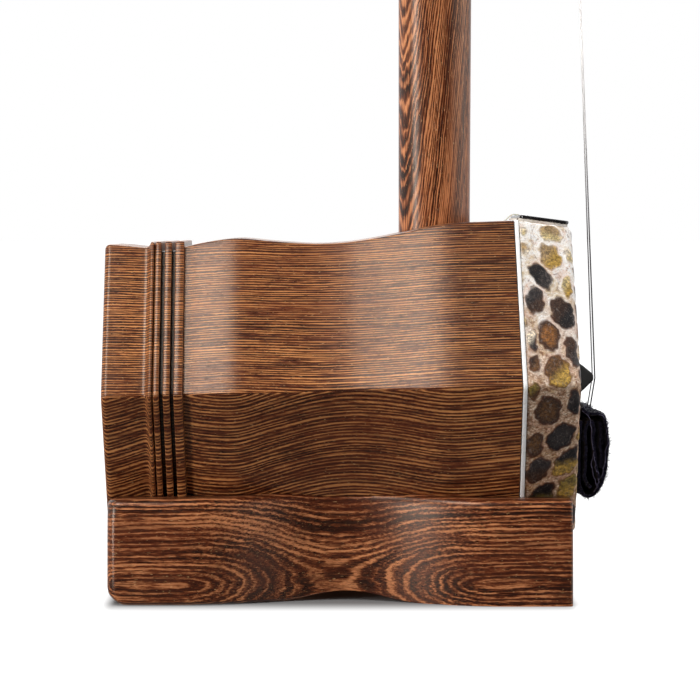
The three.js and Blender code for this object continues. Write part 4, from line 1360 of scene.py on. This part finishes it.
def add_nut_cord():
    """One twisted cord, wound six times round the neck and the strings."""
    clearance = CORD_RADIUS + 0.35
    loop = STRING_SPACING_AT_NUT + clearance
    nut_x, nut_z = STRING_AT_NUT
    middle = (NECK_FRONT_HIGH + NECK_BACK) / 2
    depth = (NECK_FRONT_HIGH - NECK_BACK) / 2 + clearance
    front = [[nut_x + loop * math.cos(t), loop * math.sin(t)] for t in np.radians(np.linspace(-90, 90, 14))]
    back = [[middle + depth * math.cos(t), (NECK_WIDTH / 2 + clearance) * math.sin(t)]
            for t in np.radians(np.linspace(90, 270, 22))]
    once = resampled(np.array(front + back + front[:1]), 90)[:-1]
    points = []
    for k in range(CORD_TURNS * len(once) + 1):
        x, y = once[k % len(once)]
        points.append([x, y, nut_z + CORD_PITCH * (k / len(once) - CORD_TURNS / 2)])
    rings = sweep(points, CORD_RADIUS, 14, lobes=3, lobe_depth=0.13, twist=2.2)
    cord = add_loft("nut_cord_winding", rings, 60)
    colors = srgb(74, 16, 16), srgb(150, 42, 34)
    noise = {"detail": 4.0, "roughness": 0.7, "seed": 7}
    silk = speckled("nut_cord_silk", colors, (0.3, 0.7), 0.75, (0.06, 0.8), noise, (3, 3, 9),
                    Sheen_Weight=0.4)
    finish_piece(cord, silk, "frame", "cord_red", "nut_cord")


# ---- String hook: a steel plate with a pin for each string ----

def add_hook():
    """The plate on the base's front end, and its two headed pins."""
    rings = []
    for forward, inset in ((0.05, 0.25), (0.3, 0), (0.75, 0), (1.0, 0.25)):
        rings.append([[BASE_FRONT + forward, y, 12 + z] for y, z in round_corners(5.3, 2.8, 1.2 - inset, 6)])
    plate = add_loft("string_hook_plate", rings, 45)
    finish_piece(plate, steel("hook_steel", srgb(190, 188, 186), 0.25), "frame", "steel", "string_hook")
    hook_x, hook_z = STRING_AT_HOOK
    for name, side in (("outer", 1), ("inner", -1)):
        profile = [(BASE_FRONT + 0.9, 0.85), (hook_x - 0.6, 0.8), (hook_x - 0.1, 0.75), (hook_x, 0.95),
                   (hook_x + 0.2, 1.05), (hook_x + 0.35, 0.85), (hook_x + 0.4, 0.4)]
        pin = turned_rings(profile, hook_z - 1.35, 24)
        pin[:, :, 1] += side * STRING_SPACING
        pin = add_loft(f"{name}_hook_pin", pin, 45)
        finish_piece(pin, steel(f"{name}_hook_pin_steel", srgb(190, 188, 186), 0.22, seed=4 + side),
                     "frame", "steel")


# ---- Pegs ----

PEG_REAR = -121
PEG_FLUTES = 12
HANDLE_PROFILE = [(-14.5, 7.4), (-15.4, 8.3), (-18, 9.0), (-20.6, 8.3), (-22, 7.6), (-26, 7.9), (-30, 8.6),
                  (-55, 10.4), (-80, 12), (-104, 13), (-114, 12.4), (-119, 9.5), (-120.6, 7.2), (PEG_REAR, 6)]


def peg_rings(z):
    """The tapered shaft and the long fluted handle, as rings round X."""
    shaft = [(32, 3.2), (31.8, 3.9), (31.3, 4.4), (30.6, PEG_SHAFT - PEG_TAPER * 30.6)]
    shaft += [(x, PEG_SHAFT - PEG_TAPER * x) for x in np.linspace(28, -13, 14)]
    profile = shaft + [(-13.6, 6.3)] + spline(HANDLE_PROFILE, 5).tolist()
    sides = 96
    turns = whole_turn(sides)
    rings = []
    for x, r in profile:
        flute = float(ease(-x, 27, 36) * (1 - ease(-x, 106, 115)))
        reach = r * (1 - 0.075 * flute * np.abs(np.sin(PEG_FLUTES / 2 * turns)) ** 0.6)
        rings.append(np.stack([np.full(sides, x), reach * np.cos(turns), z + reach * np.sin(turns)], axis=1))
    return np.array(rings)


def winding_line(z):
    """Three layers of turns on the shaft, each narrower than the one below."""
    points = []
    layers = [(5.15, 14.9, 22.6), (5.65, 22.4, 15.2), (6.1, 15.7, 21.9)]
    pitch = 0.52
    steps = 20
    turn = 0.0
    for radius, start, end in layers:
        count = abs(end - start) / pitch * steps
        for k in range(int(count)):
            share = k / count
            turn += 2 * math.pi / steps
            x = start + (end - start) * share
            points.append([x, radius * math.cos(turn), z + radius * math.sin(turn)])
    return points


def add_peg(name, z):
    """A peg at height z, with its bone button and the string wound on its shaft. All three turn together."""
    body = f"{name}_tuning_peg"
    peg = add_loft(f"{name}_peg_turned", peg_rings(z), 32)
    timber = Timber((1, 0, 0), (0.05, 0.6, 0.8), period=1.1, seed=90 + z / 100, wander=0.3, ripple=0.2,
                    light=0.62, width=0.42)
    finish_piece(peg, wood(f"{name}_peg_wood", timber), body, "peg_wood", f"{name}_peg")

    collar = [(0.05, 5.2), (0.3, 5.6), (1.0, 5.7), (1.5, 5.3), (1.7, 4.5), (2.0, 4.35)]
    dome = [(2.0 + 3.5 * math.sin(t), 0.15 + 4.2 * math.cos(t)) for t in np.radians([8, 25, 45, 65, 82, 89])]
    profile = [(PEG_REAR - back, r) for back, r in collar + dome]
    cap = add_loft(f"{name}_peg_button", turned_rings(profile, z), 45)
    finish_piece(cap, bone(f"{name}_cap_bone", srgb(240, 230, 206), 20 + z / 50),
                 body, "bone", f"{name}_peg_end_cap")

    winding = add_loft(f"{name}_peg_wound_string", sweep(winding_line(z), 0.29, 8), 60)
    finish_piece(winding, steel(f"{name}_winding_steel", srgb(190, 187, 184), 0.22, (3, 1, 1), 6),
                 body, "string_steel", f"{name}_peg_string_winding")


# ---- Damper: a folded cloth between the strings and the skin ----

PAD_HALF_WIDTH = 21.6
PAD_FULL_DEPTH = 49.1
PAD_MIDDLE = (43.8, 40.0)
PAD_PRESSED = (5.0, 9.5)    # either side of the middle, where the strings' press starts to ease and ends
FIBRE_COUNT = 2600
CLOTH_THICKNESS = 1.05
# Middle lines of the cloth's layers, as [x, z] points seen from the near side.
OUTER_FOLD = [
    [40.6, 52.9], [41.9, 51.6], [43.6, 51.3], [45.5, 51.1], [46.8, 49.9], [47.4, 47.2], [47.8, 44.0],
    [47.6, 40.0], [47.2, 36.0], [46.4, 32.6], [45.2, 30.2], [43.6, 28.4], [42.0, 28.0], [40.6, 28.9],
    [39.9, 31.5], [39.7, 36.0], [39.7, 41.0], [39.9, 46.0], [40.3, 49.2],
]
INNER_FOLD = [
    [43.1, 30.4], [41.9, 31.8], [41.3, 35.0], [41.6, 40.0], [41.4, 45.0], [42.1, 48.2], [43.2, 49.0],
    [43.8, 46.8], [43.9, 43.0], [44.3, 39.4], [44.6, 36.4], [45.3, 33.8], [45.0, 32.4],
]
CORE_FOLD = [[45.2, 49.0], [45.9, 46.4], [45.6, 43.0], [46.0, 39.4], [45.8, 36.0]]
# Pale threads along the cut ends, as [x, z] points.
END_THREADS = [
    [[40.7, 52.0], [41.9, 50.9], [42.8, 49.5], [43.0, 47.2], [43.3, 45.3], [43.7, 40.6], [43.1, 36.3],
     [43.9, 33.4], [44.7, 30.7]],
    [[43.7, 39.6], [44.3, 36.4], [45.1, 33.5], [44.7, 30.6], [43.9, 29.2]],
    [[45.6, 51.4], [47.2, 49.3], [47.5, 46.8], [47.9, 44.7], [47.2, 41.0], [46.7, 37.4], [46.4, 35.0],
     [45.2, 32.6]],
]


def pressed_depth(y, x, z):
    """Moves a point of the pad back where the strings press its middle."""
    back = SKIN_FRONT + BOX_TILT * (BOX_AXIS_HEIGHT - z) + 0.35
    slope = (STRING_AT_BRIDGE[0] - STRING_AT_HOOK[0]) / (STRING_AT_BRIDGE[1] - STRING_AT_HOOK[1])
    string_x = STRING_AT_HOOK[0] + (z - STRING_AT_HOOK[1]) * slope - 0.35
    squeeze = (string_x - back) / (PAD_FULL_DEPTH - back)
    share = squeeze + (1 - squeeze) * ease(np.abs(y), *PAD_PRESSED)
    return back + np.maximum(x - back, 0.02) * share


def ragged(rng, count, spacing, size):
    """A smooth random line: new values every few points, with straight runs between."""
    knots = rng.normal(0, size, count // spacing + 3)
    return np.interp(np.arange(count) / spacing, np.arange(len(knots)), knots)


def cloth_strip(fold, phase, rng_seed):
    """Rings of one thick strip of cloth, folded along its line and wide across Y."""
    line = spline(fold, 10)
    line = resampled(line, int(line_length(line) / 0.34))
    tangent = np.gradient(line, axis=0)
    tangent /= np.linalg.norm(tangent, axis=1)[:, None]
    normal = np.stack([tangent[:, 1], -tangent[:, 0]], axis=1)
    rng = np.random.default_rng(rng_seed)
    count = len(line)
    steps = ((-1, -0.97, 3), (-0.95, 0.95, 80), (0.97, 1, 3))
    across = np.concatenate([np.linspace(*step) for step in steps])
    fray = [ragged(rng, count, 2, 0.22) for _ in range(2)]
    drift = [ragged(rng, count, 5, 0.16) for _ in range(2)]
    rings, edge = [], []
    for share in across:
        end = float(ease(abs(share), 0.93, 1.0))
        half = CLOTH_THICKNESS / 2 * (1 - 0.35 * end)
        sway = drift[0] * math.cos(share * 5 + phase) + drift[1] * math.sin(share * 3)
        rough = [ragged(rng, count, 2, 0.05) for _ in range(2)]
        y = share * PAD_HALF_WIDTH + end * np.sign(share) * fray[int(share > 0)]
        outer = line + normal * (half + sway + rough[0])[:, None]
        inner = line - normal * (half - sway + rough[1])[:, None]
        loop = np.concatenate([outer, inner[::-1]])
        ys = np.concatenate([y, y[::-1]])
        rings.append(np.stack([pressed_depth(ys, loop[:, 0], loop[:, 1]), ys, loop[:, 1]], axis=1))
        edge.append(np.full(len(loop), float(ease(abs(share), 0.95, 0.985))))
    return np.array(rings), np.concatenate(edge), line


def cloth_material():
    """Dark navy weave, paler where its cut ends are frayed."""
    g = Surface("damper_cloth")
    place = g.place()
    weave = g.noise(g.scaled(place, (5, 1.4, 5)), detail=4.0, roughness=0.75, seed=5)
    clouds = g.noise(place, scale=0.6, detail=3.0, seed=8)
    color = g.mix(g.span(weave, 0.4, 0.75), srgb(9, 8, 18), srgb(38, 35, 66))
    color = g.mix(g.span(clouds, 0.55, 0.75, 0.0, 0.4), color, srgb(40, 38, 58))
    frayed = g.times(g.attribute("cut_edge"), g.span(weave, 0.45, 0.7, 0.0, 0.45))
    color = g.mix(frayed, color, srgb(84, 80, 110))
    return g.finish(color, 0.95, g.bump(weave, 0.18, 0.9), Sheen_Weight=0.15, Sheen_Roughness=0.5,
                    Specular_IOR_Level=0.1)


def add_damper():
    """The folded cloth: three strips, one inside another, as one piece."""
    points, faces, edges, lines = [], [], [], []
    total = 0
    for fold, phase in ((OUTER_FOLD, 0.4), (INNER_FOLD, 2.1), (CORE_FOLD, 4.0)):
        rings, edge, line = cloth_strip(fold, phase, int(phase * 10))
        count, sides = rings.shape[:2]
        half = sides // 2
        faces += ring_faces(count, sides, caps=False, start=total)
        for base in (total, total + (count - 1) * sides):
            last = base + sides - 1
            faces += [(base + s, base + s + 1, last - 1 - s, last - s) for s in range(half - 1)]
        points.append(rings.reshape(-1, 3))
        edges.append(edge)
        lines.append(line)
        total += count * sides
    pad = add_mesh("damper_cloth_pad", np.concatenate(points), faces, 60, {"cut_edge": np.concatenate(edges)})
    face_outward(pad)
    finish_piece(pad, cloth_material(), "frame", "cloth", "damper_pad")
    lint = add_lint(lines)


def end_thread(rng, path, side):
    """A wandering thread along one cut end of the pad."""
    line = resampled(spline(path, 10), 60)
    offset = np.stack([ragged(rng, 60, 3, 0.16), ragged(rng, 60, 3, 0.16)], axis=1)
    line = line + offset
    y = side * (PAD_HALF_WIDTH + 0.12 + ragged(rng, 60, 4, 0.12))
    points = np.stack([pressed_depth(y, line[:, 0], line[:, 1]), y, line[:, 1]], axis=1)
    return sweep(points, 0.1 + 0.04 * rng.random(60), 6)


def loose_fibre(rng, line):
    """One short fibre, as a line of points, or nothing where the strings press the pad."""
    at = rng.integers(2, len(line) - 2)
    tangent = line[at + 1] - line[at - 1]
    tangent /= np.linalg.norm(tangent)
    normal = np.array([tangent[1], -tangent[0]])
    if normal.dot(line[at] - np.array(PAD_MIDDLE)) < 0:
        normal = -normal
    on_end = rng.random() < 0.6
    side = rng.choice([-1, 1])
    y = side * PAD_HALF_WIDTH * 0.99 if on_end else rng.uniform(-1, 1) * PAD_HALF_WIDTH
    if abs(y) < PAD_PRESSED[1]:
        return None
    lift = rng.uniform(-0.4, 0.5) if on_end else 0.45
    x, z = line[at] + normal * lift
    start = np.array([pressed_depth(y, x, z), y, z])
    heading = rng.normal(0, 0.6, 3) + np.array([normal[0], 0, normal[1]]) * 0.8
    heading[1] += side * 0.9 * on_end
    heading /= np.linalg.norm(heading)
    curl = rng.normal(0, 0.5, 3)
    reach = rng.uniform(0.4, 1.2)
    return [start + heading * reach * s + curl * reach * s * s * 0.5 for s in (0, 0.35, 0.7, 1.0)]


def add_lint(lines):
    """Loose fibres that stand out of the cloth, and threads along its cut ends."""
    rng = np.random.default_rng(41)
    strands = [end_thread(rng, path, side) for path in END_THREADS for side in (-1, 1)]
    for _ in range(FIBRE_COUNT):
        line = lines[0] if rng.random() < 0.7 else lines[rng.integers(1, 3)]
        fibre = loose_fibre(rng, line)
        if fibre is not None:
            strands.append(sweep(fibre, [0.06, 0.055, 0.045, 0.02], 3))
    points, faces = [], []
    total = 0
    for rings in strands:
        count, sides = rings.shape[:2]
        faces += ring_faces(count, sides, start=total)
        points.append(rings.reshape(-1, 3))
        total += count * sides
    tint = np.concatenate([np.full(len(p), float(len(p) > 20)) for p in points])
    lint = add_mesh("damper_cloth_fibres", np.concatenate(points), faces, 60, {"thread": tint})
    g = Surface("damper_fibre")
    uneven = g.noise(g.place(), scale=0.9, detail=2.0, seed=2)
    dark = g.mix(uneven, srgb(12, 11, 20), srgb(58, 55, 80))
    pale = g.mix(uneven, srgb(66, 62, 92), srgb(140, 136, 168))
    finish_piece(lint, g.finish(g.mix(g.attribute("thread"), dark, pale), 0.9), "frame", "cloth")
    return lint


# ---- Make everything ----

add_boards()
add_skin()
add_binding()
add_plate()
add_window()
add_neck()
add_head()
add_base()
add_bridge()
add_strings()
add_nut_cord()
add_hook()
for peg_name, peg_height in PEG_HEIGHTS.items():
    add_peg(peg_name, peg_height)
add_damper()
for screw in ("base_screw_1", "base_screw_2"):
    dress_node(screw, steel(f"{screw}_steel", srgb(176, 174, 170), 0.3), 0.15)

# ---- Stage ----

LIGHT_TARGET = (-0.03, -0.03, 0.06)


def add_area_light(name, direction, distance, size, power):
    """A soft box that faces the target from the given direction. Lengths are in metres."""
    data = bpy.data.lights.new(name, "AREA")
    data.shape = "RECTANGLE"
    data.size, data.size_y = size
    data.energy = power
    light = bpy.data.objects.new(name, data)
    away = Vector(direction).normalized()
    light.location = Vector(LIGHT_TARGET) + away * distance
    light.rotation_euler = away.to_track_quat("Z", "Y").to_euler()
    bpy.context.collection.objects.link(light)


FLOOR_HALF_SIDE = 20000
FLOOR_DROP = 0.15
BASE_MIDDLE = -27.8
SHADOW_HALF_LENGTH = 62.0
SHADOW_HALF_WIDTH = 34.0
SHADOW_FADE = 23.0


def add_floor():
    """A white table top that glows away from the object; round the base its glow fades out, as a painted
    shadow, so that a soft shadow shows near it.
    """
    g = Surface("floor_white")
    corners = [[FLOOR_HALF_SIDE * x, FLOOR_HALF_SIDE * y, -FLOOR_DROP]
               for x, y in ((-1, -1), (1, -1), (1, 1), (-1, 1))]
    floor = add_mesh("floor", corners, [(0, 1, 2, 3)])
    place = g.place()
    along = g.math("ABSOLUTE", g.math("ADD", g.dot(place, (1, 0, 0)), -BASE_MIDDLE))
    across = g.math("ABSOLUTE", g.dot(place, (0, 1, 0)))
    beside = g.times(g.math("MAXIMUM", g.math("SUBTRACT", along, SHADOW_HALF_LENGTH), 0.0), 5.0)
    before = g.math("MAXIMUM", g.math("SUBTRACT", across, SHADOW_HALF_WIDTH), 0.0)
    # painted shadow: no glow over and round the base, rising to 0.9 over SHADOW_FADE mm
    glow = g.span(g.hypot(beside, before), 0.0, SHADOW_FADE, 0.0, 0.9, smooth=True)
    floor.data.materials.append(g.finish((0.26, 0.26, 0.26), 0.9, Specular_IOR_Level=0.0,
                                         Emission_Color=(1, 1, 1, 1), Emission_Strength=glow))
    floor.visible_diffuse = False
    floor.visible_glossy = False


def add_world():
    """White wherever the camera looks. For other rays, a white sweep above and behind, and a dim room."""
    world = bpy.data.worlds.new("studio")
    g = Graph(world)
    way = g.node("TexCoord").outputs["Generated"]
    behind = g.span(g.dot(way, (0, 1, 0)), -0.6, 0.1, 0.06, 0.95, smooth=True)
    above = g.span(g.dot(way, (0, 0, 1)), -0.25, 0.05, smooth=True)
    below = g.times(g.math("SUBTRACT", 1.0, above), 0.17)
    room = g.math("MULTIPLY_ADD", behind, above, below)
    seen = g.node("LightPath").outputs["Is Camera Ray"]
    background = g.tree.nodes["Background"]
    g.feed(background.inputs["Strength"], g.math("MAXIMUM", seen, room))
    g.feed(background.inputs["Color"], (1, 1, 1, 1))
    bpy.context.scene.world = world


# For each light: its direction from the object, how far away it is, its size and its power.
LIGHTS = {
    "key": ((-0.36, -0.47, 0.80), 0.8, (0.3, 0.34), 3.4),
    "side_strip": ((-0.80, -0.58, 0.12), 1.2, (0.25, 0.7), 10),
    "fill": ((0.9, -0.2, 0.12), 1.4, (1.5, 1.3), 10),
    "overhead": ((0.1, 0.75, 0.66), 1.6, (1.2, 0.8), 12),
}

add_floor()
add_world()
for light_name, light in LIGHTS.items():
    add_area_light(light_name, *light)
bpy.context.scene.view_settings.view_transform = "Standard"
